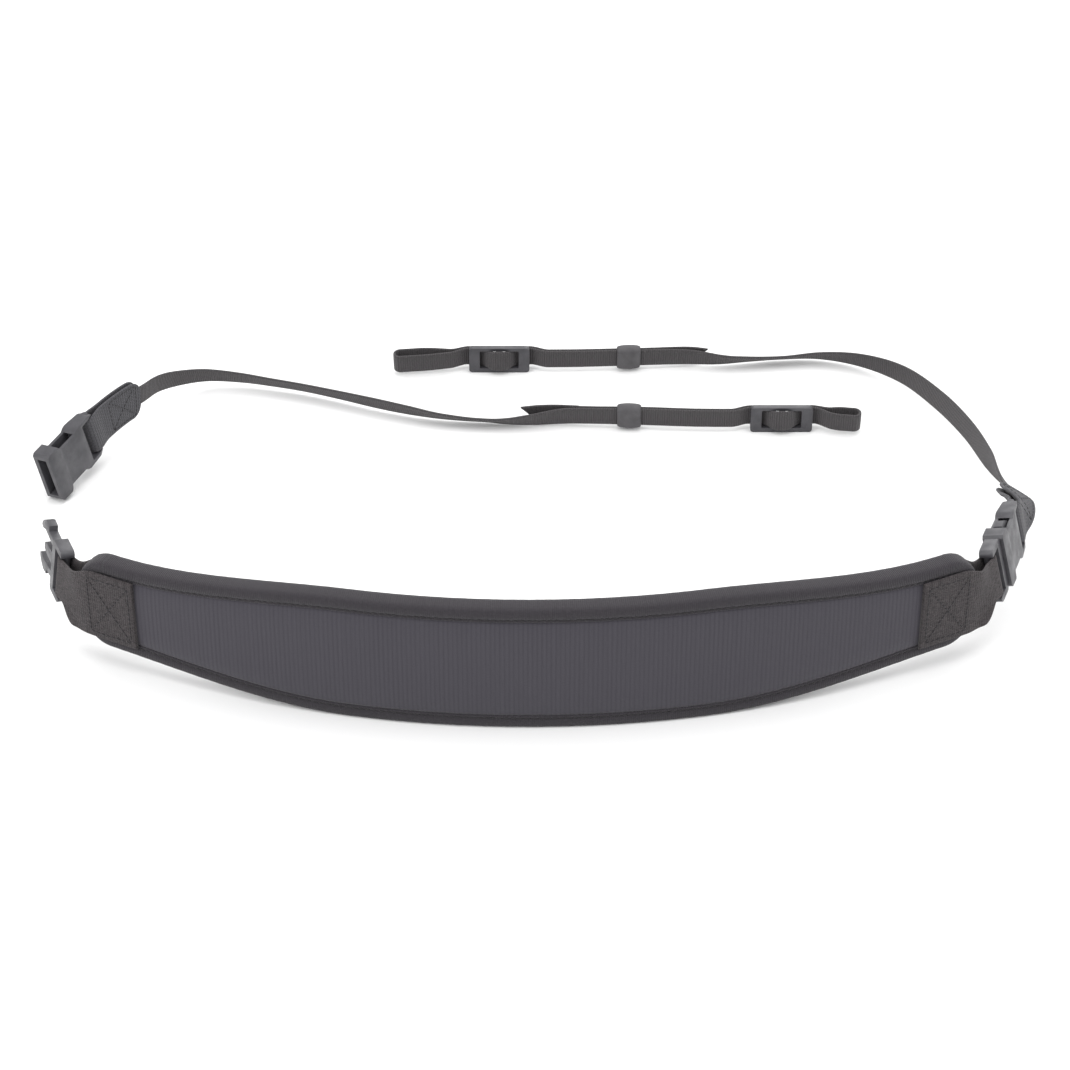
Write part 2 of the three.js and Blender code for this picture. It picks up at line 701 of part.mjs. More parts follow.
// A socket half, and the first rows of its adapter's route: through the bar along the
// socket, then in steps of a length, a heading, a slope and a lean.
function addSocket(side, socket, steps) {
  const mesh = addMesh(`female_buckle_${side}`, fromManifold(makeSocket()), colours.plastic);
  const { position, direction, width } = socket;
  placeAlong(mesh, position, direction, width);
  const left = axisZ.clone().cross(direction).normalize();
  const rise = direction.clone().cross(left);
  const lean = Math.atan2(width.dot(left), width.dot(rise)) / degree;
  const point = position.clone().addScaledVector(direction, buckle.socketBarAt);
  const rows = [{ ...point.clone().addScaledVector(direction, -sleeve.leadIn), lean }];
  rows.push({ ...point, lean });
  rows.push({ ...point.addScaledVector(direction, sleeve.joinAt / 2), lean });
  for (const step of steps) {
    point.addScaledVector(directionOf(step.heading, step.slope), step.length);
    rows.push({ ...point, lean: step.lean });
  }
  return rows;
}

addMesh('pad', makePad(), colours.neoprene);
addMesh('facing', makeFacing(), colours.facing);
addMesh('binding', makeBinding(), colours.binding);

const plugGeometry = fromManifold(makePlug());
for (const [name, end] of [['left', leftEnd], ['right', rightEnd]]) {
  addMesh(`end_tab_${name}`, makeTab(end.sign), colours.heavyWebbing);
  const plug = addMesh(`male_buckle_${name}`, plugGeometry, colours.plastic);
  const bar = barFrame(end);
  placeAlong(plug, bar.point, bar.direction, bar.width);
}

// the right socket is closed on its plug
const rightBar = barFrame(rightEnd);
const rightSocket = {
  position: rightBar.point.clone().addScaledVector(rightBar.direction, buckle.mouthAt),
  direction: rightBar.direction,
  width: rightBar.width,
};
const rightStart = addSocket('right', rightSocket, [
  { length: 11, heading: 79, slope: -12, lean: 40 },
  { length: 12, heading: 88, slope: -16, lean: 58 },
  { length: 12, heading: 96, slope: -16, lean: 50 },
]);
addAdapter('right', [
  ...rightStart,
  { x: 228.5, y: 166, z: 18, lean: 16 },
  { x: 225, y: 183, z: 15.8, lean: -14 },
  { x: 218.4, y: 210, z: 13, lean: -20 },
  { x: 207, y: 238, z: 10.6, lean: -21 },
  { x: 190.4, y: 264.5, z: 8.3, lean: -8 },
  { x: 170.5, y: 279.3, z: 6.5, lean: 16 },
  { x: 150, y: 284.8, z: 5.5, lean: 38 },
  { x: 129, y: 284, z: 4.7, lean: 50 },
  { x: 106, y: 281.5, z: 5.6, lean: 38 },
  { x: 82, y: 282.5, z: 7, lean: 8 },
  { x: 51, y: 280.5, z: 7.8, lean: 3 },
  { x: 26, y: 279.3, z: 7.9, lean: 1 },
  { x: 4, y: 279, z: 7.9, lean: 0 },
  { x: -15, y: 279, z: 7.9, lean: 0 },
  { x: -36, y: 279, z: 7.9, lean: 0 },
  { x: -52, y: 278.6, z: 7.7, lean: 0 },
  { x: -69, y: 277.6, z: 7.2, lean: 0 },
], { sliderX: -15.5, keeperX: 51, tailEndX: 88, tailSlant: -7.5, loopHalfGap: 2.5, front: 1 });

// the left socket lies free on its edge behind the pad's left end
const leftDirection = directionOf(60, 7);
const leftSocket = {
  position: new THREE.Vector3(-234, 168, 14.6),
  direction: leftDirection,
  width: leaningWidth(leftDirection, 9),
};
const leftStart = addSocket('left', leftSocket, [
  { length: 11, heading: 58, slope: 3, lean: 7 },
  { length: 12, heading: 56, slope: -1, lean: 5 },
  { length: 12, heading: 54, slope: -6, lean: 2 },
]);
addAdapter('left', [
  ...leftStart,
  { x: -187, y: 244.5, z: 16.5, lean: -3 },
  { x: -177.5, y: 254.5, z: 12.8, lean: -10 },
  { x: -164, y: 261.3, z: 9.8, lean: -20 },
  { x: -147, y: 262, z: 7.8, lean: -28 },
  { x: -131, y: 259, z: 7, lean: -33 },
  { x: -115, y: 255, z: 6.6, lean: -34 },
  { x: -96, y: 248.5, z: 6.5, lean: -31 },
  { x: -77, y: 241.5, z: 6.4, lean: -27 },
  { x: -60, y: 236, z: 6, lean: -31 },
  { x: -43, y: 232, z: 5.1, lean: -42 },
  { x: -20, y: 229.8, z: 4.3, lean: -48 },
  { x: 0, y: 229.8, z: 5.4, lean: -26 },
  { x: 18, y: 230.8, z: 6.9, lean: -5 },
  { x: 36, y: 230, z: 7.4, lean: -4 },
  { x: 57, y: 228.8, z: 7.8, lean: 0 },
  { x: 84, y: 227.2, z: 7.9, lean: 0 },
  { x: 106, y: 227, z: 7.9, lean: 0 },
  { x: 127, y: 227, z: 7.9, lean: 0 },
  { x: 148, y: 227, z: 7.9, lean: 0 },
  { x: 166, y: 225.6, z: 7.5, lean: 0 },
], { sliderX: 127, keeperX: 50.5, tailEndX: 0, tailSlant: 4, loopHalfGap: 2.5, front: -1 });

// the origin is under the middle of the whole, on the surface it stands on
const bounds = new THREE.Box3().setFromObject(strap);
const middle = bounds.getCenter(new THREE.Vector3());
strap.position.set(-middle.x, -middle.y, -bounds.min.z);

export default strap;
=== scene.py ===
from math import atan2, copysign, cos, degrees, dist, hypot, pi, radians, sin, sqrt

import bmesh
import bpy
from mathutils import Matrix, Vector


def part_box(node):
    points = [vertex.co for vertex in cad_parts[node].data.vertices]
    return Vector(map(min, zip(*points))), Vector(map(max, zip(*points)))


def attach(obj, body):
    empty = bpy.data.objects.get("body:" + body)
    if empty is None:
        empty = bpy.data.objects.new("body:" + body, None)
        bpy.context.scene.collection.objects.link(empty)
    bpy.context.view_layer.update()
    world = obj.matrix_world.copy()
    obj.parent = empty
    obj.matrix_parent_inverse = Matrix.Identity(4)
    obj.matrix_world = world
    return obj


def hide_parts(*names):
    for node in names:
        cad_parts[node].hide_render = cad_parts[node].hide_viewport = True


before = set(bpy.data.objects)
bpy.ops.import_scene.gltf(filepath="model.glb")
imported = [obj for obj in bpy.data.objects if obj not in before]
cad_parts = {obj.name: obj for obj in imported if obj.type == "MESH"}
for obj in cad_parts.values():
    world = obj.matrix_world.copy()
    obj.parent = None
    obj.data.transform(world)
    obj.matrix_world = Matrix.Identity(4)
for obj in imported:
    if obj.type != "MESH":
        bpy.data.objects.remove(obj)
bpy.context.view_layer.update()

mm = 0.001
gap = 0.3
print("frame loaded:", len(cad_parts), "nodes")

# what a user would change on the pad, in millimetres and degrees; lengths run along the
# pad's middle surface from its centre
padShape = {
    "halfLength": 210, "height": 68, "endHeight": 49, "taperStart": 80, "cornerRadius": 14,
    "thickness": 6.4, "bendRadius": 425, "crown": 1.1, "stations": 150, "rows": 16,
    "arcEnd": 204, "barAt": 226, "barHeading": 54, "padY": 5,
    "twistFrom": 210.5, "twistTo": 221.6, "twistLeft": 10, "twistRight": 17,
}
bindingShape = {"thickness": 1.1, "reach": 7, "stitchInset": 5.6, "stitchPitch": 3.1, "stitchRadius": 0.4,
                "outlineStep": 1.4, "pucker": 0.16, "puff": 0.2}
facingShape = {"thickness": 1.0, "ribPitch": 2.05, "ribDepth": 0.1, "crown": 0.75, "rows": 22}

# the drawing's own origin in the frame, just in front of the foot of the pad's middle
bindingLow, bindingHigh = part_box("binding")
padOuter = padShape["thickness"] / 2 + gap + bindingShape["thickness"]
originX = (bindingLow[0] + bindingHigh[0]) / 2
originY = bindingLow[1] - (padShape["padY"] - padOuter) * mm


def toFrame(x, y, z):
    return Vector((originX + x * mm, originY + y * mm, z * mm))


def smoothStep(value, low, high):
    t = min(max((value - low) / (high - low), 0.0), 1.0)
    return t * t * (3 - 2 * t)


def mix(a, b, t):
    return a + (b - a) * t


# camera, floor and light
view = {"place": (3.1, -1128.4, 992.2), "lookDown": 38, "lens": 112.19}
cameraData = bpy.data.cameras.new("camera")
cameraData.lens = view["lens"]
cameraData.sensor_width = 36
cameraData.clip_end = 20
camera = bpy.data.objects.new("camera", cameraData)
camera.location = toFrame(*view["place"])
camera.rotation_euler = (radians(90 - view["lookDown"]), 0, 0)
bpy.context.collection.objects.link(camera)
bpy.context.scene.camera = camera

studio = {"floor": 0.86, "world": 0.95, "worldPower": 0.85, "colourScale": 0.58}


def makeStudio():
    bm = bmesh.new()
    bmesh.ops.create_grid(bm, x_segments=8, y_segments=8, size=4)
    mesh = bpy.data.meshes.new("floor")
    bm.to_mesh(mesh)
    bm.free()
    floor = bpy.data.objects.new("floor", mesh)
    bpy.context.collection.objects.link(floor)
    floorMaterial = bpy.data.materials.new("floorPaper")
    floorMaterial.use_nodes = True
    shader = floorMaterial.node_tree.nodes["Principled BSDF"]
    shader.inputs["Base Color"].default_value = (studio["floor"],) * 3 + (1,)
    shader.inputs["Roughness"].default_value = 0.9
    mesh.materials.append(floorMaterial)
    world = bpy.data.worlds.new("studioWorld")
    world.use_nodes = True
    background = world.node_tree.nodes["Background"]
    background.inputs["Color"].default_value = (studio["world"],) * 3 + (1,)
    background.inputs["Strength"].default_value = studio["worldPower"]
    bpy.context.scene.world = world
    # name, place, size, power
    lamps = [
        ("overhead", (0.0, 0.1, 1.9), 1.8, 26),
        ("keyLeft", (-1.5, -1.0, 1.3), 1.0, 16),
        ("fillRight", (1.6, -0.4, 1.0), 1.2, 8),
        ("rim", (0.2, 1.7, 0.9), 1.0, 8),
    ]
    for name, place, size, power in lamps:
        lampData = bpy.data.lights.new(name, "AREA")
        lampData.size = size
        lampData.energy = power
        lamp = bpy.data.objects.new(name, lampData)
        lamp.location = place
        lamp.rotation_euler = (Vector((0, 0, 0.03)) - Vector(place)).to_track_quat("-Z", "Y").to_euler()
        bpy.context.collection.objects.link(lamp)
    bpy.context.scene.view_settings.view_transform = "Standard"
    bpy.context.scene.view_settings.look = "None"


makeStudio()
print("camera and studio ready")


# node groups that several finishes share
def newGroup(name, inputs, outputs):
    tree = bpy.data.node_groups.new(name, "ShaderNodeTree")
    for socketName, kind, value in inputs:
        socket = tree.interface.new_socket(name=socketName, in_out="INPUT", socket_type="NodeSocket" + kind)
        if value is not None:
            socket.default_value = value
    for socketName, kind in outputs:
        tree.interface.new_socket(name=socketName, in_out="OUTPUT", socket_type="NodeSocket" + kind)
    return tree, tree.nodes.new("NodeGroupInput"), tree.nodes.new("NodeGroupOutput")


# puts an output socket or a plain number into an input socket
def wire(tree, source, target):
    if isinstance(source, (int, float)):
        target.default_value = source
    else:
        tree.links.new(source, target)


def maths(tree, kind, first, second=0.0, third=0.0):
    node = tree.nodes.new("ShaderNodeMath")
    node.operation = kind
    for i, value in enumerate((first, second, third)):
        wire(tree, value, node.inputs[i])
    return node.outputs[0]


# one rounded ridge for each whole step of the value
def ridged(tree, value):
    return maths(tree, "ABSOLUTE", maths(tree, "SINE", maths(tree, "MULTIPLY", value, pi)))


def mapRange(tree, value, fromLow, fromHigh, toLow, toHigh):
    node = tree.nodes.new("ShaderNodeMapRange")
    for i, item in enumerate((value, fromLow, fromHigh, toLow, toHigh)):
        wire(tree, item, node.inputs[i])
    return node.outputs[0]


def noiseValue(tree, place, scale, detail=2.0, roughness=0.5):
    node = tree.nodes.new("ShaderNodeTexNoise")
    tree.links.new(place, node.inputs["Vector"])
    wire(tree, scale, node.inputs["Scale"])
    node.inputs["Detail"].default_value = detail
    node.inputs["Roughness"].default_value = roughness
    return node.outputs["Fac"]


def scaledPlace(tree, place, x, y, z):
    node = tree.nodes.new("ShaderNodeMapping")
    tree.links.new(place, node.inputs["Vector"])
    node.inputs["Scale"].default_value = (x, y, z)
    return node.outputs["Vector"]


# plain weave: threads along and across pass over and under each other
def makeWeaveGroup():
    tree, groupIn, groupOut = newGroup(
        "plainWeave",
        [("Place", "Vector", None), ("Along pitch", "Float", 1.0),
         ("Across pitch", "Float", 1.0), ("Uneven", "Float", 0.3)],
        [("Height", "Float"), ("Shade", "Float")])
    parts = tree.nodes.new("ShaderNodeSeparateXYZ")
    tree.links.new(groupIn.outputs["Place"], parts.inputs[0])
    wobble = noiseValue(tree, groupIn.outputs["Place"], 0.35, 2.0)
    wobble = maths(tree, "MULTIPLY", maths(tree, "SUBTRACT", wobble, 0.5), groupIn.outputs["Uneven"])
    u = maths(tree, "ADD", maths(tree, "DIVIDE", parts.outputs[0], groupIn.outputs["Along pitch"]), wobble)
    v = maths(tree, "ADD", maths(tree, "DIVIDE", parts.outputs[1], groupIn.outputs["Across pitch"]), wobble)
    ridgeU, ridgeV = ridged(tree, u), ridged(tree, v)
    cell = maths(tree, "ADD", maths(tree, "FLOOR", u), maths(tree, "FLOOR", v))
    over = maths(tree, "PINGPONG", cell, 1.0)

    # a thread is round across its width and dips where the next one crosses it
    def thread(acrossIt, alongIt):
        rounded = maths(tree, "POWER", acrossIt, 0.6)
        return maths(tree, "MULTIPLY", rounded, mapRange(tree, alongIt, 0, 1, 0.45, 1))

    lengthwise, crosswise = thread(ridgeV, ridgeU), thread(ridgeU, ridgeV)
    top = maths(tree, "MULTIPLY", lengthwise, over)
    bottom = maths(tree, "MULTIPLY", crosswise, maths(tree, "SUBTRACT", 1.0, over))
    height = maths(tree, "ADD", top, bottom)
    tree.links.new(height, groupOut.inputs["Height"])
    # colour: cells with the lengthwise thread on top are lighter, and painted shade darkens each thread
    # towards its low edges and crossings
    shade = maths(tree, "MULTIPLY_ADD", over, 0.35, maths(tree, "MULTIPLY", height, 0.65))
    tree.links.new(shade, groupOut.inputs["Shade"])
    return tree


# rounded ribs side by side, each a little different in height
def makeRibGroup():
    tree, groupIn, groupOut = newGroup(
        "wovenRibs",
        [("Place", "Vector", None), ("Pitch", "Float", 1.0), ("Cross pitch", "Float", 0.7)],
        [("Height", "Float"), ("Shade", "Float")])
    parts = tree.nodes.new("ShaderNodeSeparateXYZ")
    tree.links.new(groupIn.outputs["Place"], parts.inputs[0])
    u = maths(tree, "DIVIDE", parts.outputs[0], groupIn.outputs["Pitch"])
    ridge = maths(tree, "POWER", ridged(tree, u), 0.55)
    shift = maths(tree, "MULTIPLY", maths(tree, "PINGPONG", maths(tree, "FLOOR", u), 1.0), 0.5)
    v = maths(tree, "ADD", maths(tree, "DIVIDE", parts.outputs[1], groupIn.outputs["Cross pitch"]), shift)
    knots = ridged(tree, v)
    height = maths(tree, "MULTIPLY", ridge, mapRange(tree, knots, 0, 1, 0.7, 1))
    uneven = noiseValue(tree, scaledPlace(tree, groupIn.outputs["Place"], 1.6, 0.02, 1), 1.0, 1.0)
    # colour: random unevenness along the ribs, plus painted shade darkening the grooves between ribs and the
    # dips between knots
    shade = maths(tree, "MULTIPLY_ADD", uneven, 0.6, maths(tree, "MULTIPLY", height, 0.4))
    tree.links.new(height, groupOut.inputs["Height"])
    tree.links.new(shade, groupOut.inputs["Shade"])
    return tree


# heathered yarn: small light and dark flecks over soft broad patches
def makeFibreGroup():
    tree, groupIn, groupOut = newGroup(
        "yarnFlecks",
        [("Place", "Vector", None), ("Fleck size", "Float", 0.6), ("Patch size", "Float", 14.0)],
        [("Flecks", "Float"), ("Patches", "Float"), ("Fuzz", "Float")])
    place = groupIn.outputs["Place"]
    fleckScale = maths(tree, "DIVIDE", 1.0, groupIn.outputs["Fleck size"])
    patchScale = maths(tree, "DIVIDE", 1.0, groupIn.outputs["Patch size"])
    flecks = noiseValue(tree, scaledPlace(tree, place, 0.55, 1.0, 1.0), fleckScale, 3.0, 0.7)
    tree.links.new(mapRange(tree, flecks, 0.32, 0.68, 0, 1), groupOut.inputs["Flecks"])
    patches = noiseValue(tree, place, patchScale, 3.0)
    tree.links.new(mapRange(tree, patches, 0.3, 0.7, 0, 1), groupOut.inputs["Patches"])
    tree.links.new(noiseValue(tree, place, 9.0, 3.0, 0.7), groupOut.inputs["Fuzz"])
    return tree


# spark-eroded grain of a moulding, with rubbed patches where it is handled
def makeMouldGroup():
    tree, groupIn, groupOut = newGroup(
        "mouldedGrain",
        [("Place", "Vector", None), ("Grain size", "Float", 0.35)],
        [("Height", "Float"), ("Rub", "Float"), ("Scuffs", "Float")])
    place = groupIn.outputs["Place"]
    grain = noiseValue(tree, place, maths(tree, "DIVIDE", 1.0, groupIn.outputs["Grain size"]), 4.0, 0.65)
    tree.links.new(grain, groupOut.inputs["Height"])
    rub = noiseValue(tree, place, 0.16, 3.0)
    tree.links.new(mapRange(tree, rub, 0.35, 0.7, 0, 1), groupOut.inputs["Rub"])
    scuffs = noiseValue(tree, scaledPlace(tree, place, 3.0, 0.25, 0.9), 1.2, 2.0, 0.8)
    tree.links.new(mapRange(tree, scuffs, 0.62, 0.72, 0, 1), groupOut.inputs["Scuffs"])
    return tree


groups = {
    "weave": makeWeaveGroup(), "ribs": makeRibGroup(),
    "yarn": makeFibreGroup(), "mould": makeMouldGroup(),
}
print("node groups ready")


# finishes name colours as they should look once rendered; under this studio's light a surface
# comes out lighter than its own colour, so each is scaled down by one factor tuned by eye
def srgb(r, g, b):
    return tuple(studio["colourScale"] * ((c / 255 + 0.055) / 1.055) ** 2.4 for c in (r, g, b)) + (1,)


def startMaterial(name, coordinates):
    material = bpy.data.materials.new(name)
    material.use_nodes = True
    tree = material.node_tree
    source = tree.nodes.new("ShaderNodeTexCoord").outputs[coordinates]
    return material, tree, tree.nodes["Principled BSDF"], scaledPlace(tree, source, 1000, 1000, 1000)


def placeGroup(tree, name, place, **values):
    node = tree.nodes.new("ShaderNodeGroup")
    node.node_tree = groups[name]
    tree.links.new(place, node.inputs["Place"])
    for key, value in values.items():
        node.inputs[key].default_value = value
    return node.outputs


def mixColours(tree, factor, first, second):
    node = tree.nodes.new("ShaderNodeMix")
    node.data_type = "RGBA"
    wire(tree, factor, node.inputs["Factor"])
    for value, socket in ((first, node.inputs["A"]), (second, node.inputs["B"])):
        if isinstance(value, tuple):
            socket.default_value = value
        else:
            tree.links.new(value, socket)
    return node.outputs["Result"]


def addBump(tree, shader, height, distance, strength=1.0):
    bump = tree.nodes.new("ShaderNodeBump")
    bump.inputs["Distance"].default_value = distance * mm
    bump.inputs["Strength"].default_value = strength
    tree.links.new(height, bump.inputs["Height"])
    tree.links.new(bump.outputs[0], shader.inputs["Normal"])


def clothMaterial(name, look):
    material, tree, shader, place = startMaterial(name, "UV")
    yarn = placeGroup(tree, "yarn", place, **{"Fleck size": look["fleck"], "Patch size": look["patch"]})
    if look["weave"] == "ribs":
        pattern = placeGroup(tree, "ribs", place, **{
            "Pitch": look["pitch"][0], "Cross pitch": look["pitch"][1]})
    else:
        pattern = placeGroup(tree, "weave", place, **{
            "Along pitch": look["pitch"][0], "Across pitch": look["pitch"][1], "Uneven": look["uneven"]})
    # the pattern's shade output mixes the dark and light colours: the dark one is painted shade in the dips
    # of the weave or ribs, mixed with the pattern's own tone
    base = mixColours(tree, pattern["Shade"], srgb(*look["dark"]), srgb(*look["light"]))
    fleckShare = maths(tree, "MULTIPLY", yarn["Flecks"], look["flecks"])
    flecked = mixColours(tree, fleckShare, base, srgb(*look["fleckColour"]))
    faded = mixColours(tree, maths(tree, "MULTIPLY", yarn["Patches"], 0.25), flecked, srgb(*look["faded"]))
    tree.links.new(faded, shader.inputs["Base Color"])
    rough = mapRange(tree, pattern["Height"], 0, 1, look["rough"] + 0.08, look["rough"] - 0.08)
    tree.links.new(rough, shader.inputs["Roughness"])
    shader.inputs["Sheen Weight"].default_value = look["sheen"]
    shader.inputs["Sheen Roughness"].default_value = 0.45
    shader.inputs["Specular IOR Level"].default_value = 0.3
    height = maths(tree, "MULTIPLY_ADD", yarn["Fuzz"], 0.3, pattern["Height"])
    addBump(tree, shader, height, look["depth"])
    return material


def mouldedMaterial(name, look):
    material, tree, shader, place = startMaterial(name, "Object")
    grain = placeGroup(tree, "mould", place, **{"Grain size": look["grain"]})
    rubShare = maths(tree, "MULTIPLY", grain["Rub"], 0.55)
    rubbed = mixColours(tree, rubShare, srgb(*look["colour"]), srgb(*look["rubbed"]))
    scuffed = mixColours(tree, maths(tree, "MULTIPLY", grain["Scuffs"], 0.35), rubbed, srgb(*look["scuffed"]))
    tree.links.new(scuffed, shader.inputs["Base Color"])
    rough = mapRange(tree, grain["Rub"], 0, 1, look["rough"] + 0.08, look["rough"] - 0.1)
    tree.links.new(rough, shader.inputs["Roughness"])
    shader.inputs["Specular IOR Level"].default_value = 0.45
    addBump(tree, shader, grain["Height"], look["depth"], 0.6)
    return material


# in each cloth look, dark and light are the ends of that mix: dark is the painted shade in the dips and the
# darker tone, light the tops of the threads
finishes = {
    "neoprene": clothMaterial("neopreneJersey", {
        "weave": "plain", "pitch": (0.9, 0.7), "uneven": 0.5, "dark": (46, 45, 50), "light": (66, 64, 71),
        "depth": 0.12, "fleck": 0.5, "flecks": 0.15, "fleckColour": (84, 82, 88), "patch": 30,
        "faded": (70, 68, 75), "rough": 0.85, "sheen": 0.15}),
    "facing": clothMaterial("facingRibKnit", {
        "weave": "ribs", "pitch": (facingShape["ribPitch"], 0.9), "dark": (64, 61, 70), "light": (82, 79, 88),
        "depth": 0.07, "fleck": 0.7, "flecks": 0.14, "fleckColour": (98, 95, 105), "patch": 40,
        "faded": (80, 77, 86), "rough": 0.8, "sheen": 0.2}),
    "binding": clothMaterial("bindingTape", {
        "weave": "ribs", "pitch": (0.9, 0.6), "dark": (40, 36, 42), "light": (68, 64, 70), "depth": 0.2,
        "fleck": 1.0, "flecks": 0.34, "fleckColour": (84, 79, 85), "patch": 16,
        "faded": (62, 59, 65), "rough": 0.82, "sheen": 0.15}),
    "heavyWebbing": clothMaterial("heatheredWebbing", {
        "weave": "plain", "pitch": (1.1, 0.75), "uneven": 0.9, "dark": (34, 31, 33), "light": (70, 65, 67),
        "depth": 0.3, "fleck": 1.2, "flecks": 0.7, "fleckColour": (112, 104, 106), "patch": 6,
        "faded": (46, 42, 44), "rough": 0.9, "sheen": 0.1}),
    "sleeveWebbing": clothMaterial("sleeveWebbing", {
        "weave": "plain", "pitch": (1.5, 0.9), "uneven": 0.25, "dark": (60, 59, 63), "light": (98, 97, 102),
        "depth": 0.22, "fleck": 0.6, "flecks": 0.2, "fleckColour": (112, 110, 115), "patch": 12,
        "faded": (86, 85, 90), "rough": 0.75, "sheen": 0.15}),
    "narrowWebbing": clothMaterial("narrowWebbing", {
        "weave": "ribs", "pitch": (1.15, 0.8), "dark": (44, 42, 44), "light": (104, 100, 102), "depth": 0.34,
        "fleck": 0.6, "flecks": 0.2, "fleckColour": (104, 101, 103), "patch": 14,
        "faded": (84, 81, 83), "rough": 0.72, "sheen": 0.12}),
    "thread": clothMaterial("sewingThread", {
        "weave": "ribs", "pitch": (0.45, 0.3), "dark": (34, 32, 35), "light": (64, 61, 65), "depth": 0.08,
        "fleck": 0.4, "flecks": 0.1, "fleckColour": (78, 75, 78), "patch": 20,
        "faded": (56, 54, 57), "rough": 0.6, "sheen": 0.1}),
    "plastic": mouldedMaterial("buckleAcetal", {
        "colour": (78, 77, 82), "rubbed": (100, 99, 104), "scuffed": (128, 127, 131),
        "grain": 0.4, "rough": 0.42, "depth": 0.09}),
    "keeper": mouldedMaterial("keeperRubber", {
        "colour": (90, 88, 91), "rubbed": (108, 106, 109), "scuffed": (122, 120, 123),
        "grain": 0.7, "rough": 0.6, "depth": 0.16}),
}
print("finishes ready:", len(finishes))


# mesh tools
def addPiece(name, mesh, finish, *nodes):
    piece = bpy.data.objects.new(name, mesh)
    bpy.context.collection.objects.link(piece)
    mesh.materials.clear()
    mesh.materials.append(finishes[finish])
    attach(piece, "root")
    if nodes:
        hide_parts(*nodes)
    return piece


def smoothSkin(mesh):
    bm = bmesh.new()
    bm.from_mesh(mesh)
    bmesh.ops.recalc_face_normals(bm, faces=bm.faces)
    bm.to_mesh(mesh)
    bm.free()
    mesh.polygons.foreach_set("use_smooth", [True] * len(mesh.polygons))
    return mesh


# a closed skin through rings of points; uvs holds (along, across) in metres for each point
def meshFromRings(name, rings, uvs, closed=False):
    mesh = bpy.data.meshes.new(name)
    count = len(rings[0])
    spans = len(rings) if closed else len(rings) - 1
    points = [p for ring in rings for p in ring]
    faces = []
    for i in range(spans):
        here, after = i * count, ((i + 1) % len(rings)) * count
        for j in range(count):
            k = (j + 1) % count
            faces.append((here + j, here + k, after + k, after + j))
    if not closed:
        faces.append(tuple(reversed(range(count))))
        faces.append(tuple((len(rings) - 1) * count + j for j in range(count)))
    mesh.from_pydata(points, [], faces)
    layer = mesh.uv_layers.new(name="UVMap")
    for polygon in mesh.polygons:
        wraps = closed and polygon.index >= (spans - 1) * count
        for loop in polygon.loop_indices:
            vertex = mesh.loops[loop].vertex_index
            u, v = uvs[vertex // count][vertex % count]
            if wraps and vertex < count:
                u = uvs[-1][0][0] + bindingShape["stitchPitch"] * mm
            layer.data[loop].uv = (u, v)
    return smoothSkin(mesh)


# the section of a flat strap as (side, across): rounded edges and slightly crowned faces
def bandSection(upper, lower, thickness, columns, crown):
    radius = thickness / 2
    face = []
    for j in range(columns + 1):
        t = 2 * j / columns - 1
        face.append((radius + crown * (1 - t * t), t * ((upper if t > 0 else lower) - radius)))

    def edge(halfWidth):
        turns = [pi * k / 6 for k in range(1, 6)]
        return [(radius * cos(a), halfWidth - radius + radius * sin(a)) for a in turns]

    back = [(-side, across) for side, across in reversed(face)]
    return face + edge(upper) + back + [(-side, -across) for side, across in edge(lower)]


# a flat strap along a path of (along, offset); place() maps along, offset and across to the frame
def bandMesh(name, path, place, halfWidthAt, thickness, columns=10, crown=0.08, slant=0.0):
    rings, uvs, walked = [], [], 0.0
    for i, (along, offset) in enumerate(path):
        before, after = path[max(i - 1, 0)], path[min(i + 1, len(path) - 1)]
        dx, dy = after[0] - before[0], after[1] - before[1]
        size = hypot(dx, dy) or 1.0
        normal = (-dy / size, dx / size)
        if i:
            walked += hypot(along - path[i - 1][0], offset - path[i - 1][1])
        upper, lower = halfWidthAt(along, 1), halfWidthAt(along, -1)
        ring, row = [], []
        cut = slant * (1 - smoothStep(i, 0, 3)) / 2
        for side, across in bandSection(upper, lower, thickness, columns, crown):
            tilt = cut * across / upper
            ring.append(place(along + side * normal[0] + tilt, offset + side * normal[1], across))
            row.append((walked * mm, across * mm))
        rings.append(ring)
        uvs.append(row)
    return meshFromRings(name, rings, uvs)


def bezier(a, b, c, d, count):
    points = []
    for i in range(count + 1):
        t = i / count
        weights = ((1 - t) ** 3, 3 * t * (1 - t) ** 2, 3 * t * t * (1 - t), t ** 3)
        points.append(tuple(sum(w * p[k] for w, p in zip(weights, (a, b, c, d))) for k in range(2)))
    return points


# the pad's shape
def padHalfHeight(s, inset=0.0):
    reach = abs(s)
    cornerAt = padShape["halfLength"] - padShape["cornerRadius"]
    drop = (padShape["height"] - padShape["endHeight"]) / 2
    if reach <= cornerAt:
        return padShape["height"] / 2 - drop * smoothStep(reach, padShape["taperStart"], cornerAt) - inset
    radius = padShape["cornerRadius"] - inset
    past = min(reach - cornerAt, radius)
    return padShape["endHeight"] / 2 - padShape["cornerRadius"] + sqrt(radius * radius - past * past)


def planAt(reach):
    bend, arcEnd = padShape["bendRadius"], padShape["arcEnd"]
    arcAngle = min(reach, arcEnd) / bend
    x, y = bend * sin(arcAngle), bend * (1 - cos(arcAngle))
    radius = (padShape["barAt"] - arcEnd) / (radians(padShape["barHeading"]) - arcEnd / bend)
    past = min(max(reach - arcEnd, 0), padShape["barAt"] - arcEnd)
    heading = arcAngle + past / radius
    beyond = max(reach - padShape["barAt"], 0)
    x += radius * (sin(heading) - sin(arcAngle)) + beyond * cos(heading)
    y += radius * (cos(arcAngle) - cos(heading)) + beyond * sin(heading)
    return x, y, heading


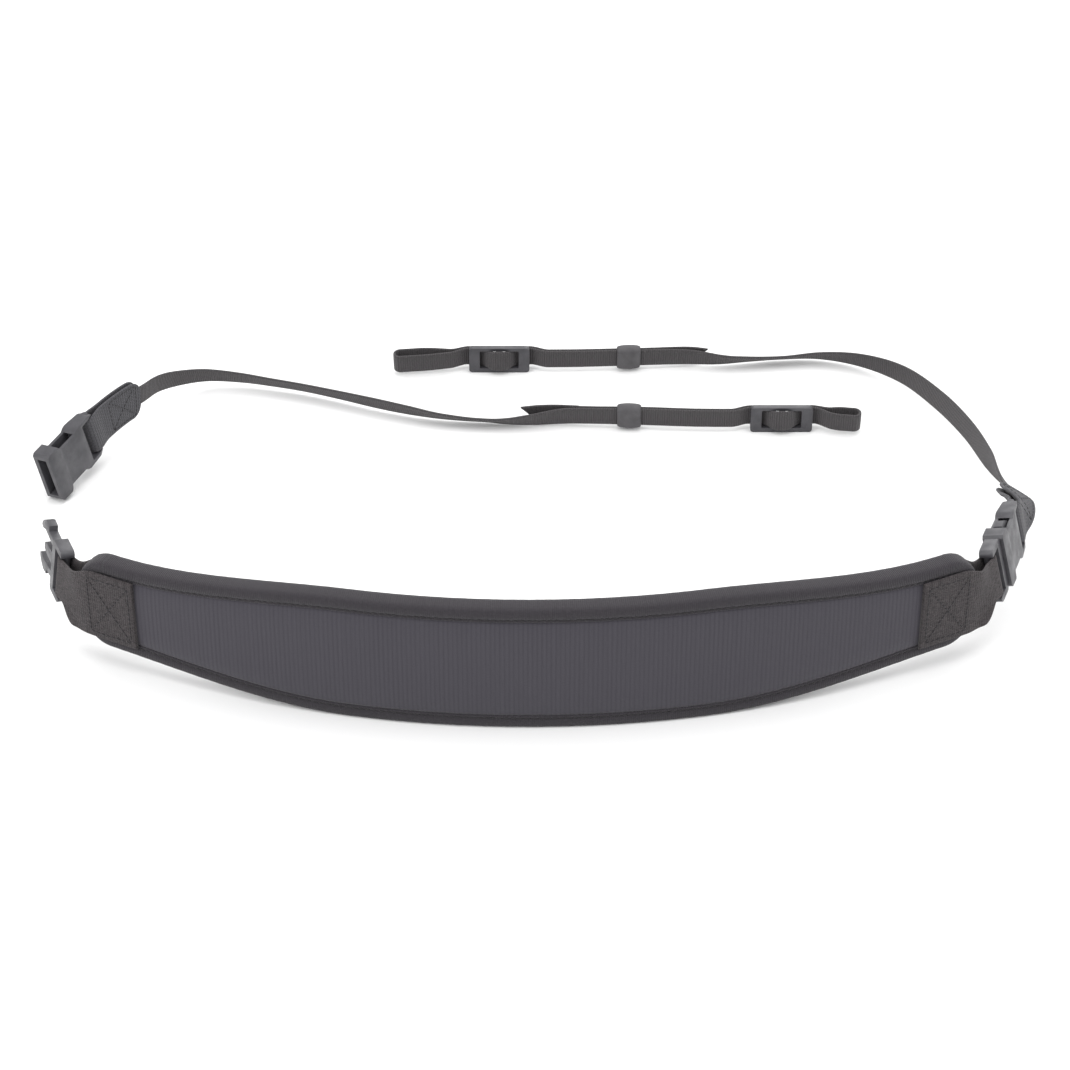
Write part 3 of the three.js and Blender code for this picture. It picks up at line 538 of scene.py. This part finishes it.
def onPad(s, out, height):
    side = -1 if s < 0 else 1
    x, y, heading = planAt(abs(s))
    twist = radians(padShape["twistLeft"] if s < 0 else padShape["twistRight"])
    twist *= smoothStep(abs(s), padShape["twistFrom"], padShape["twistTo"])
    turned = out * cos(twist) - height * sin(twist)
    lifted = height * cos(twist) + out * sin(twist)
    return toFrame(side * (x + turned * sin(heading)),
                   padShape["padY"] + y - turned * cos(heading),
                   padShape["height"] / 2 + lifted)


# lengths along a rounded end, closer together towards its tip
def cornerTurns(halfLength, cornerRadius):
    cornerAt = halfLength - cornerRadius
    return [cornerAt + cornerRadius * sin(pi / 2 * k / 9) for k in range(1, 9)] + [halfLength - 0.02]


# lengths along the pad from end to end
def endStations(halfLength, cornerRadius, count):
    cornerAt = halfLength - cornerRadius
    middle = [cornerAt * (2 * i / count - 1) for i in range(count + 1)]
    turns = cornerTurns(halfLength, cornerRadius)
    return [-s for s in reversed(turns)] + middle + turns


def makePad():
    inset = bindingShape["thickness"] + gap + 0.2
    out, halfLength = padShape["thickness"] / 2, padShape["halfLength"] - inset
    rings, uvs, rows = [], [], padShape["rows"]
    for s in endStations(halfLength, padShape["cornerRadius"] - inset, padShape["stations"]):
        half = padHalfHeight(s, inset)
        endFade = smoothStep(halfLength - abs(s), 0, 5)
        ring, row = [], []
        for side in (1, -1):
            for j in range(rows + 1):
                t = side * (1 - 2 * j / rows)
                height = half * sin(pi / 2 * t)
                edge = 1 - abs(t) ** 9 * 0.85
                puff = padShape["crown"] * (1 - t * t) * endFade if side < 0 else 0
                slack = 0.25 * sin(s * 0.11 + height * 0.07) * (1 - t * t) * endFade if side < 0 else 0
                ring.append(onPad(s, side * (out * mix(0.35, 1, endFade) * edge + puff + slack), height))
                row.append((s * mm, height * mm))
        rings.append(ring)
        uvs.append(row)
    return meshFromRings("padBody", rings, uvs)


padBody = addPiece("padBody", makePad(), "neoprene", "pad")


def makeFacing():
    inset = bindingShape["reach"] - 0.9
    inner = padShape["thickness"] / 2 + 0.05
    pitch, depth = facingShape["ribPitch"], facingShape["ribDepth"]
    halfLength = padShape["halfLength"] - inset
    cornerRadius = padShape["cornerRadius"] - inset
    cornerAt = halfLength - cornerRadius
    stations, s = [], -cornerAt
    while s < cornerAt:
        stations.append(s)
        s += pitch / 4
    turns = cornerTurns(halfLength, cornerRadius)
    stations = [-t for t in reversed(turns)] + stations + [cornerAt] + turns
    rows = facingShape["rows"]
    rings, uvs = [], []
    for s in stations:
        half = padHalfHeight(s, inset)
        uneven = 0.6 + 0.25 * sin(s * 0.61) + 0.15 * sin(s * 1.37 + 0.8)
        rib = uneven * abs(sin(pi * (s + 0.35 * sin(s * 0.23)) / pitch)) ** 0.7
        endFade = smoothStep(halfLength - abs(s), 0, 9)
        ring, row = [], []
        for j in range(rows + 1):
            t = 1 - 2 * j / rows
            fade = endFade * (1 - abs(t) ** 6)
            out = inner + facingShape["thickness"] * mix(0.45, 1, fade) + facingShape["crown"] * fade
            wave = 0.16 * sin(s * 0.043 + 1.3) * sin(t * 2.2 + s * 0.02)
            ring.append(onPad(s, out + depth * (rib - 0.5) * fade + wave * fade, half * t))
            row.append((s * mm, half * t * mm))
        for j in range(rows + 1):
            t = 2 * j / rows - 1
            ring.append(onPad(s, inner, half * t))
            row.append((s * mm, half * t * mm))
        rings.append(ring)
        uvs.append(row)
    return meshFromRings("facingCloth", rings, uvs)


facingCloth = addPiece("facingCloth", makeFacing(), "facing", "facing")
print("pad and facing made")


# points of length and height all round the pad
def padOutline():
    cornerAt = padShape["halfLength"] - padShape["cornerRadius"]
    low = padShape["endHeight"] / 2 - padShape["cornerRadius"]
    count = int(2 * cornerAt / bindingShape["outlineStep"])
    lengths = [cornerAt * (2 * i / count - 1) for i in range(count + 1)]
    top = [(s, padHalfHeight(s)) for s in lengths]
    arc = [pi / 2 * (1 - (i + 0.5) / 11) for i in range(11)]
    radius = padShape["cornerRadius"]
    corner = [(cornerAt + radius * cos(a), low + radius * sin(a)) for a in arc]
    end = [(padShape["halfLength"], low * (1 - 2 * i / 10)) for i in range(11)]
    right = top + corner + end + [(x, -y) for x, y in reversed(corner)]
    return right + [(-x, -y) for x, y in right]


def makeBinding():
    thickness, reach = bindingShape["thickness"], bindingShape["reach"]
    inner = padShape["thickness"] / 2 + gap * 0.4
    outer = padShape["thickness"] / 2 + gap + thickness
    puff, seam = bindingShape["puff"], bindingShape["stitchInset"]
    outside = [(reach, inner + 0.15), (reach, outer - 0.4), (reach - 0.3, outer - 0.1),
               (seam + 0.7, outer - 0.05), (seam + 0.3, outer - 0.3), (seam, outer - 0.5),
               (seam - 0.3, outer - 0.3), (seam - 0.8, outer + puff), (3, outer + puff),
               (1.6, outer + puff / 2), (0.7, outer - 0.3), (0.2, outer - 1.1),
               (0, outer - 2.5)]
    inside = [(thickness, inner - 1.3), (2.2, inner - 0.2), (3.5, inner), (reach - 0.6, inner)]

    def mirrored(points):
        return [(deep, -out) for deep, out in reversed(points)]

    section = outside + mirrored(outside) + mirrored(inside) + inside
    outline = padOutline()
    rings, uvs, walked = [], [], 0.0
    across = [0.0]
    for a, b in zip(section, section[1:]):
        across.append(across[-1] + dist(a, b))
    for i, point in enumerate(outline):
        before, after = outline[i - 1], outline[(i + 1) % len(outline)]
        dx, dy = after[0] - before[0], after[1] - before[1]
        size = hypot(dx, dy)
        inward = (dy / size, -dx / size)
        if i:
            walked += dist(point, outline[i - 1])
        pucker = bindingShape["pucker"] * sin(2 * pi * walked / bindingShape["stitchPitch"])
        ripple = 0.05 * sin(walked * 0.31) + 0.06 * sin(walked * 0.83 + 1)
        ring, row = [], []
        for j, (deep, out) in enumerate(section):
            nearSeam = 1 - smoothStep(abs(deep - seam), 0.2, 2.8)
            height = out + copysign(pucker * nearSeam + ripple, out) * (0.3 < deep < reach)
            ring.append(onPad(point[0] + deep * inward[0], height, point[1] + deep * inward[1]))
            row.append((walked * mm, across[j] * mm))
        rings.append(ring)
        uvs.append(row)
    return meshFromRings("edgeBinding", rings, uvs, closed=True)


addPiece("edgeBinding", makeBinding(), "binding", "binding")
print("binding made")


# stitches: short arched lengths of thread, joined into one mesh for each seam
# a stitch from hole to hole: share of its length, lift and thickness, both in thread radii
stitchArch = ((0.0, -0.55, 0.35), (0.14, 0.1, 0.85), (0.5, 0.45, 1.0), (0.86, 0.1, 0.85), (1.0, -0.55, 0.35))


# seams are lists of (point, normal), evenly spaced; each neighbouring pair carries a stitch
def stitchMesh(name, seams, radius=0.27, bite=0.84):
    points, faces, sides = [], [], 6
    for seam in seams:
        for (a, normalA), (b, normalB) in zip(seam, seam[1:]):
            span = b - a
            if span.length < 0.2 * mm:
                continue
            direction = span.normalized()
            normal = (normalA + normalB).normalized()
            sideways = direction.cross(normal).normalized()
            first = len(points)
            for t, lift, size in stitchArch:
                centre = a + span * (0.5 + (t - 0.5) * bite) + normal * lift * radius * mm
                for k in range(sides):
                    angle = 2 * pi * k / sides
                    spoke = sideways * cos(angle) + normal * sin(angle) * 0.8
                    points.append(centre + spoke * radius * size * mm)
            for i in range(4):
                for k in range(sides):
                    here, after = first + i * sides, first + (i + 1) * sides
                    faces.append((here + k, here + (k + 1) % sides, after + (k + 1) % sides, after + k))
            faces.append(tuple(first + k for k in reversed(range(sides))))
            faces.append(tuple(first + 4 * sides + k for k in range(sides)))
    mesh = bpy.data.meshes.new(name)
    mesh.from_pydata(points, [], faces)
    layer = mesh.uv_layers.new(name="UVMap")
    for loop in mesh.loops:
        corner = mesh.vertices[loop.vertex_index].co
        layer.data[loop.index].uv = (corner.x + corner.y * 0.6, corner.z)
    return smoothSkin(mesh)


# the points of a flat outline at an even pitch
def walkEvenly(points, pitch):
    result, carried = [points[0]], 0.0
    for a, b in zip(points, points[1:]):
        length = dist(a, b)
        while carried + length >= pitch:
            t = (pitch - carried) / length
            a = (mix(a[0], b[0], t), mix(a[1], b[1], t))
            result.append(a)
            length = dist(a, b)
            carried = 0.0
        carried += length
    return result


# a point on a surface and the surface's outward direction there
def surfacePoint(place, along, out, height, side):
    here = place(along, out, height)
    normal = (place(along, out + 0.5, height) - here).normalized() * side
    return here, normal


# a sewn box with a cross in it, on both faces of a folded strap
def boxAndCross(shape, place, out):
    low, high, half = shape["boxFrom"], shape["boxTo"], shape["boxHalf"]
    box = [(low, -half), (high, -half), (high, half), (low, half), (low, -half)]
    lines = [box, [(low, -half), (high, half)], [(low, half), (high, -half)]]
    return [[surfacePoint(place, along, side * out, across, side)
             for along, across in walkEvenly(line, shape["stitchPitch"])]
            for line in lines for side in (1, -1)]


def bindingSeams():
    seams = []
    outline = padOutline()
    outline.append(outline[0])
    inset = bindingShape["stitchInset"]
    line = []
    for i, point in enumerate(outline[:-1]):
        before, after = outline[i - 1] if i else outline[-2], outline[i + 1]
        dx, dy = after[0] - before[0], after[1] - before[1]
        size = hypot(dx, dy)
        line.append((point[0] + inset * dy / size, point[1] - inset * dx / size))
    line.append(line[0])
    line = walkEvenly(line, bindingShape["stitchPitch"])
    out = padShape["thickness"] / 2 + gap + bindingShape["thickness"] - 0.3
    for side in (1, -1):
        seams.append([surfacePoint(onPad, s, side * out, height, side) for s, height in line])
    return seams


seamMesh = stitchMesh("bindingStitches", bindingSeams(), bindingShape["stitchRadius"])
addPiece("bindingStitches", seamMesh, "thread")

# end tabs: heavy webbing folded round the buckle's bar and sewn through the pad
tabShape = {"start": 181, "thickness": 1.8, "halfWidth": 19, "barHalfWidth": 10.3, "narrowFrom": 214.5,
            "narrowTo": 221.6, "topNarrowFrom": 201, "boxFrom": 183.5, "boxTo": 204.5, "boxHalf": 15.6,
            "stitchPitch": 2.7, "stitchRadius": 0.32}
barRadius = 1.9


# the top edge narrows earlier than the bottom one
def tabHalfWidth(s, side):
    narrowing = tabShape["halfWidth"] - tabShape["barHalfWidth"]
    narrowFrom = tabShape["topNarrowFrom" if side > 0 else "narrowFrom"]
    return tabShape["halfWidth"] - narrowing * smoothStep(s, narrowFrom, tabShape["narrowTo"])


def makeTab(sign, name):
    faceOut = padOuter + gap + tabShape["thickness"] / 2
    foldRadius = barRadius + gap + tabShape["thickness"] / 2
    legEnd, barAt = padShape["halfLength"] - 4, padShape["barAt"]
    straight = [(mix(tabShape["start"], legEnd, i / 16), faceOut) for i in range(16)]
    neck = bezier((legEnd, faceOut), (legEnd + 8, faceOut), (barAt - 8, foldRadius), (barAt, foldRadius), 26)
    outerLeg = straight + neck
    fold = [(barAt + foldRadius * cos(a), foldRadius * sin(a))
            for a in (pi / 2 - pi * i / 16 for i in range(1, 16))]
    path = outerLeg + fold + [(x, -y) for x, y in reversed(outerLeg)]
    return bandMesh(name, path, lambda s, out, height: onPad(sign * s, out, height), tabHalfWidth,
                    tabShape["thickness"], columns=18, crown=0.0)


def tabSeams(sign):
    faceOut = padOuter + gap + tabShape["thickness"] + 0.02
    return boxAndCross(tabShape, lambda s, out, height: onPad(sign * s, out, height), faceOut)


for side, sign in (("left", -1), ("right", 1)):
    title = side.capitalize()
    addPiece("endTab" + title, makeTab(sign, "endTab" + title), "heavyWebbing", "end_tab_" + side)
    seamMesh = stitchMesh("tabStitches" + title, tabSeams(sign), tabShape["stitchRadius"])
    addPiece("tabStitches" + title, seamMesh, "thread")
print("end tabs made")


# moulded pieces are copies of their nodes with rounded edges
def roundedCopy(node, name, width, finish, angle=38):
    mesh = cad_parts[node].data.copy()
    mesh.name = name
    bm = bmesh.new()
    bm.from_mesh(mesh)
    bmesh.ops.remove_doubles(bm, verts=bm.verts, dist=1e-6)
    bmesh.ops.dissolve_limit(bm, angle_limit=radians(1), verts=bm.verts, edges=bm.edges)
    bm.to_mesh(mesh)
    bm.free()
    piece = addPiece(name, mesh, finish, node)
    bevel = piece.modifiers.new("roundedEdges", "BEVEL")
    bevel.width = width * mm
    bevel.segments = 3
    bevel.limit_method = "ANGLE"
    bevel.angle_limit = radians(angle)
    bevel.harden_normals = False
    mesh.polygons.foreach_set("use_smooth", [True] * len(mesh.polygons))
    return piece


for side in ("Left", "Right"):
    roundedCopy("male_buckle_" + side.lower(), "malePlug" + side, 0.55, "plastic")
    roundedCopy("female_buckle_" + side.lower(), "femaleSocket" + side, 0.6, "plastic")
    roundedCopy("slider_" + side.lower(), "slider" + side, 0.5, "plastic")
print("buckles and sliders made")

# adapters: sleeve, narrow webbing, and the route that they follow
webbingShape = {"thickness": 1.2, "halfWidth": 5, "insertion": 16, "tailFlare": 0.9}
sleeveShape = {"length": 37, "thickness": 1.3, "halfWidth": 9.8, "endRadius": 6, "joinAt": 11, "leadIn": 8,
               "boxFrom": 14.5, "boxTo": 33.5, "boxHalf": 8, "stitchPitch": 2.5}
keeperShape = {"length": 12, "wall": 1.7, "endWall": 0.35, "clearance": 0.3, "cornerRadius": 1.5}
sliderShape = {"halfLength": 15.5, "thickness": 3, "windowHalfLength": 10, "barHalfWidth": 1.3,
               "hump": 0.34, "spread": 0.16}
buckleShape = {"mouthAt": 12.3, "socketBarAt": 35.9}
layerPitch = webbingShape["thickness"] + gap
upward = Vector((0, 0, 1))


# a smooth curve between b and c; power 0.5 spaces it by distance, 0 evenly
def catmullRom(a, b, c, d, t, power):
    spacing = [max((q - p).length ** power, 1e-6) if power else 1.0 for p, q in ((a, b), (b, c), (c, d))]
    first = ((b - a) / spacing[0] - (c - a) / (spacing[0] + spacing[1]) + (c - b) / spacing[1]) * spacing[1]
    second = ((c - b) / spacing[1] - (d - b) / (spacing[1] + spacing[2]) + (d - c) / spacing[2]) * spacing[1]
    bend = (3 * (c - b) - 2 * first - second) * t * t
    return b + first * t + bend + (2 * (b - c) + first + second) * t ** 3


# a strap's route: place, direction and width axis at a length along it, in millimetres
class Route:
    def __init__(self, rows):
        self.points = [Vector(row[:3]) for row in rows]
        self.leans = [Vector((row[3], 0, 0)) for row in rows]
        count = 400
        samples = [self.curvePoint(i / count) for i in range(count + 1)]
        self.lengths = [0.0]
        for p, q in zip(samples, samples[1:]):
            self.lengths.append(self.lengths[-1] + (q - p).length)
        self.length = self.lengths[-1]
        self.goesRight = rows[-1][0] > rows[-2][0]

    def evaluate(self, values, t, power):
        position = t * (len(values) - 1)
        i = min(int(position), len(values) - 2)
        before = values[i - 1] if i else values[0] * 2 - values[1]
        after = values[i + 2] if i + 2 < len(values) else values[-1] * 2 - values[-2]
        return catmullRom(before, values[i], values[i + 1], after, position - i, power)

    def curvePoint(self, t):
        return self.evaluate(self.points, t, 0.5)

    # the curve's own measure at a length
    def share(self, along):
        count = len(self.lengths) - 1
        low, high = 0, count
        while high - low > 1:
            middle = (low + high) // 2
            if self.lengths[middle] <= along:
                low = middle
            else:
                high = middle
        return (low + (along - self.lengths[low]) / (self.lengths[low + 1] - self.lengths[low])) / count

    def frameAt(self, along):
        inside = min(max(along, 0.0), self.length)
        t = self.share(inside)
        low, high = max(t - 0.0001, 0), min(t + 0.0001, 1)
        direction = (self.curvePoint(high) - self.curvePoint(low)).normalized()
        point = self.curvePoint(t) + direction * (along - inside)
        lean = radians(self.evaluate(self.leans, t, 0).x)
        left = upward.cross(direction).normalized()
        rise = direction.cross(left)
        width = rise * cos(lean) + left * sin(lean)
        return point, direction, width, width.cross(direction)

    def place(self, along, out, across):
        point, direction, width, normal = self.frameAt(along)
        return toFrame(*(point + normal * out + width * across))

    def lengthAtX(self, x):
        along = self.length
        while along > 0 and (self.frameAt(along)[0].x > x) == self.goesRight:
            along -= 0.25
        return along


def directionOf(heading, slope=0.0):
    flat = cos(radians(slope))
    return Vector((flat * cos(radians(heading)), flat * sin(radians(heading)),
                   sin(radians(slope))))


# the route's first rows: through the socket's bar, then in steps of length, heading, slope and lean
def socketRows(position, direction, width, steps):
    left = upward.cross(direction).normalized()
    rise = direction.cross(left)
    lean = degrees(atan2(width.dot(left), width.dot(rise)))
    bar = position + direction * buckleShape["socketBarAt"]
    point = bar + direction * sleeveShape["joinAt"] / 2
    rows = [(*(bar - direction * sleeveShape["leadIn"]), lean), (*bar, lean), (*point, lean)]
    for length, heading, slope, nextLean in steps:
        point = point + directionOf(heading, slope) * length
        rows.append((*point, nextLean))
    return rows


# the bar that the right buckle hangs on, and the way the buckle points from it
def rightBar():
    x, y, heading = planAt(padShape["barAt"])
    point = Vector((x, padShape["padY"] + y, padShape["height"] / 2))
    twist = radians(padShape["twistRight"])
    flat = sin(twist)
    width = Vector((-flat * sin(heading), flat * cos(heading), cos(twist)))
    turn = Matrix.Rotation(radians(rightAdapter["barTurn"]), 3, width)
    return point, turn @ directionOf(padShape["barHeading"]), width


rightAdapter = {
    "barTurn": 17, "sliderX": -15.5, "keeperX": 51, "tailEndX": 88, "tailSlant": -7.5, "tailLift": 0,
    "loopHalfGap": 2.5, "front": 1,
    "steps": [(11, 79, -12, 40), (12, 88, -16, 58), (12, 96, -16, 50)],
    "rows": [
        (228.5, 166, 18, 16), (225, 183, 15.8, -14), (218.4, 210, 13, -20), (207, 238, 10.6, -21),
        (190.4, 264.5, 8.3, -8), (170.5, 279.3, 6.5, 16), (150, 284.8, 5.5, 38), (129, 284, 4.7, 50),
        (106, 281.5, 5.6, 38), (82, 282.5, 7, 8), (51, 280.5, 7.8, 3), (26, 279.3, 7.9, 1),
        (4, 279, 7.9, 0), (-15, 279, 7.9, 0), (-36, 279, 7.9, 0), (-52, 278.6, 7.7, 0),
        (-69, 277.6, 7.2, 0),
    ],
}
leftAdapter = {
    "place": (-234, 168, 14.6), "heading": 60, "slope": 7, "lean": 9,
    "sliderX": 127, "keeperX": 50.5, "tailEndX": 0, "tailSlant": -7, "tailLift": 14,
    "loopHalfGap": 2.5, "front": -1,
    "steps": [(11, 58, 3, 7), (12, 56, -1, 5), (12, 54, -6, 2)],
    "rows": [
        (-187, 244.5, 16.5, -3), (-177.5, 254.5, 12.8, -10), (-164, 261.3, 9.8, -20),
        (-147, 262, 7.8, -28), (-131, 259, 7, -33), (-115, 255, 6.6, -34), (-96, 248.5, 6.5, -31),
        (-77, 241.5, 6.4, -27), (-60, 236, 6, -31), (-43, 232, 5.1, -42), (-20, 229.8, 4.3, -48),
        (0, 229.8, 5.4, -26), (18, 230.8, 6.9, -5), (36, 230, 7.4, -4), (57, 228.8, 7.8, 0),
        (84, 227.2, 7.9, 0), (106, 227, 7.9, 0), (127, 227, 7.9, 0), (148, 227, 7.9, 0),
        (166, 225.6, 7.5, 0),
    ],
}


def leftStart():
    direction = directionOf(leftAdapter["heading"], leftAdapter["slope"])
    left = upward.cross(direction).normalized()
    lean = radians(leftAdapter["lean"])
    width = direction.cross(left) * cos(lean) + left * sin(lean)
    return Vector(leftAdapter["place"]), direction, width


def rightStart():
    point, direction, width = rightBar()
    return point + direction * buckleShape["mouthAt"], direction, width


# the sleeve's path along the route: out along one side, round the bar and back
def sleevePath():
    foldRadius = barRadius + gap + sleeveShape["thickness"] / 2
    legOut = (sleeveShape["thickness"] + webbingShape["thickness"]) / 2 + gap
    cornerAt = sleeveShape["length"] - sleeveShape["endRadius"]
    radius = sleeveShape["endRadius"]
    ends = [(cornerAt + radius * sin(pi / 2 * k / 9), legOut) for k in range(9, 0, -1)]
    leg = [(mix(cornerAt, sleeveShape["joinAt"], i / 18), legOut) for i in range(18)]
    joinAt = sleeveShape["joinAt"]
    neck = bezier((joinAt, legOut), (joinAt - 5, legOut), (5, foldRadius), (0, foldRadius), 10)
    fold = [(foldRadius * cos(a), foldRadius * sin(a))
            for a in (pi / 2 + pi * i / 14 for i in range(1, 14))]
    upper = ends + leg + neck
    return upper + fold + [(x, -y) for x, y in reversed(upper)], legOut


def sleeveHalfWidth(x, side):
    cornerAt = sleeveShape["length"] - sleeveShape["endRadius"]
    radius = sleeveShape["endRadius"]
    past = min(max(x - cornerAt, 0), radius * 0.985)
    return sleeveShape["halfWidth"] - radius + sqrt(radius ** 2 - past ** 2)


# the two layers of webbing beside each other, and how they pass through the slider
class Layers:
    def __init__(self, sliderAt, tailEndAt, front):
        self.sliderAt, self.tailEndAt, self.front = sliderAt, tailEndAt, front
        self.swing = sliderShape["thickness"] / 2 + gap / 2 + layerPitch / 2 + webbingShape["thickness"] / 2

    def middle(self, along):
        reach = abs(along - self.sliderAt)
        flatFrom, flatTo = sliderShape["barHalfWidth"] - 0.3, sliderShape["windowHalfLength"] + 0.5
        if reach >= flatTo:
            halfLength = sliderShape["halfLength"]
            return -self.front * self.swing * (1 - smoothStep(reach, halfLength, halfLength + 10))
        turn = min(max((reach - flatFrom) / (flatTo - flatFrom), 0), 1)
        return self.front * self.swing * cos(pi * turn)

    def at(self, along, out):
        slope = (self.middle(along + 0.1) - self.middle(along - 0.1)) / 0.2
        size = hypot(slope, 1)
        return along - slope / size * out, self.middle(along) + out / size

    def run(self, along):
        eased = smoothStep(along, self.tailEndAt - 25, self.tailEndAt - 5)
        return self.at(along, self.front * layerPitch / 2 * eased)

    def tail(self, along):
        flare = webbingShape["tailFlare"] * (1 - smoothStep(along, self.tailEndAt, self.tailEndAt + 25))
        return self.at(along, -self.front * (layerPitch / 2 + flare))


# the webbing from its free end, through the slider, round the lug loop, back and into the sleeve
def webbingPath(route, adapter):
    sliderAt, tailEndAt = route.lengthAtX(adapter["sliderX"]), route.lengthAtX(adapter["tailEndX"])
    layers = Layers(sliderAt, tailEndAt, adapter["front"])
    splitAt = sliderAt + sliderShape["halfLength"] + 1
    step = 1.0

    def evenly(low, high):
        count = max(int((high - low) / step), 2)
        return [mix(low, high, i / count) for i in range(count + 1)]

    radius = adapter["loopHalfGap"] + webbingShape["thickness"] / 2
    loopStart, turnCentre = splitAt + gap, route.length - radius
    going = -adapter["front"]
    leg = []
    for along in evenly(loopStart, turnCentre)[:-1]:
        spread = smoothStep(along, loopStart, loopStart + 0.7 * (turnCentre - loopStart))
        leg.append((along, mix(layerPitch / 2, radius, spread)))
    turn = [(turnCentre + radius * cos(a), radius * sin(a))
            for a in (pi / 2 - pi * i / 16 for i in range(17))]
    loop = [(a, layers.middle(a) + going * out) for a, out in leg + turn]
    loop += [(a, layers.middle(a) - going * out) for a, out in reversed(leg)]
    runStart = sleeveShape["leadIn"] + sleeveShape["length"] - webbingShape["insertion"]
    tail = [layers.tail(a) for a in evenly(tailEndAt, splitAt)]
    run = [layers.run(a) for a in evenly(runStart, splitAt)]
    return layers, tail + loop + list(reversed(run))


# a moulded ring round both layers of webbing, its wall rounded over at both ends
def makeKeeper(name, route, adapter):
    centre, radius = route.lengthAtX(adapter["keeperX"]), keeperShape["cornerRadius"]
    halfWidth = webbingShape["halfWidth"] + keeperShape["clearance"]
    halfDepth = layerPitch / 2 + webbingShape["thickness"] / 2 + keeperShape["clearance"]
    halfLength, endWall = keeperShape["length"] / 2, keeperShape["endWall"]
    wall = [(halfLength - 0.25, 0), (halfLength, endWall / 2)]
    for k in range(1, 8):
        a = pi / 2 * k / 8
        wall.append((halfLength * cos(a), mix(endWall, keeperShape["wall"], sin(a) ** 0.8)))
    section = wall + [(0, keeperShape["wall"])] + [(-x, out) for x, out in reversed(wall)]
    rings, uvs = [], []
    for corner in range(4):
        for k in range(7):
            a = pi / 2 * (corner + k / 6)
            acrossAt = copysign(halfWidth - radius, cos(pi / 2 * (corner + 0.5)))
            outAt = copysign(halfDepth - radius, sin(pi / 2 * (corner + 0.5)))
            rings.append([route.place(centre + x, outAt + (radius + out) * sin(a),
                                      acrossAt + (radius + out) * cos(a)) for x, out in section])
            uvs.append([(a * mm, x * mm) for x, out in section])
    return meshFromRings(name, rings, uvs, closed=True)


# the outer layer humps up over the slider's upper rail, and both spread behind its ends
def spreadAtSlider(layers, along, out, across):
    reach = abs(along - layers.sliderAt)
    if across < 0:
        behind = smoothStep(reach, 7.5, 9.5) * (1 - smoothStep(reach, 12, 18))
        return across * (1 + sliderShape["spread"] * behind)
    outer = (out - layers.middle(along)) * layers.front > 0
    return across * (1 + sliderShape["hump"] * (1 - smoothStep(reach, 1.2, 6.5)) * outer)


# the free end may stand straighter than the run beside it
def standTail(adapter, tailEndAt, along, out, across):
    front, lift = adapter["front"], radians(adapter["tailLift"])
    lift *= 1 - smoothStep(along, tailEndAt + 2, tailEndAt + 26)
    if lift == 0 or out * front > 0 or along < tailEndAt - 8:
        return out, across
    shift = -front * (webbingShape["halfWidth"] * sin(lift) + 0.4)
    centre = -front * (layerPitch / 2 + webbingShape["tailFlare"])
    beside = out - centre
    return (centre + shift + beside * cos(lift) + across * sin(lift),
            across * cos(lift) - beside * sin(lift))


def sleeveSeams(place, legOut):
    return boxAndCross(sleeveShape, place, legOut + sleeveShape["thickness"] / 2 + 0.05)


for side, adapter, start in (("left", leftAdapter, leftStart()), ("right", rightAdapter, rightStart())):
    title = side.capitalize()
    route = Route(socketRows(*start, adapter["steps"]) + adapter["rows"])
    path, legOut = sleevePath()

    def placeSleeve(x, out, across, route=route):
        return route.place(sleeveShape["leadIn"] + x, out, across)

    sleeve = bandMesh("sleeve" + title, path, placeSleeve, sleeveHalfWidth,
                      sleeveShape["thickness"], 12, 0.06)
    addPiece("sleeve" + title, sleeve, "sleeveWebbing", "sleeve_" + side)
    seams = stitchMesh("sleeveStitches" + title, sleeveSeams(placeSleeve, legOut), 0.24)
    addPiece("sleeveStitches" + title, seams, "thread")
    layers, strapPath = webbingPath(route, adapter)
    strapLength = sum(dist(a, b) for a, b in zip(strapPath, strapPath[1:]))
    print(side, "strap cut length:", round(strapLength), "mm")

    def placeStrap(along, out, across, route=route, adapter=adapter, layers=layers):
        across = spreadAtSlider(layers, along, out, across)
        return route.place(along, *standTail(adapter, layers.tailEndAt, along, out, across))

    strap = bandMesh("adapterWebbing" + title, strapPath, placeStrap,
                     lambda along, side: webbingShape["halfWidth"], webbingShape["thickness"], 10, 0.05,
                     slant=adapter["tailSlant"])
    addPiece("adapterWebbing" + title, strap, "narrowWebbing",
             "webbing_" + side, "webbing_tail_" + side, "lug_loop_" + side)
    addPiece("keeper" + title, makeKeeper("keeper" + title, route, adapter), "keeper", "keeper_" + side)
print("adapters and keepers made")
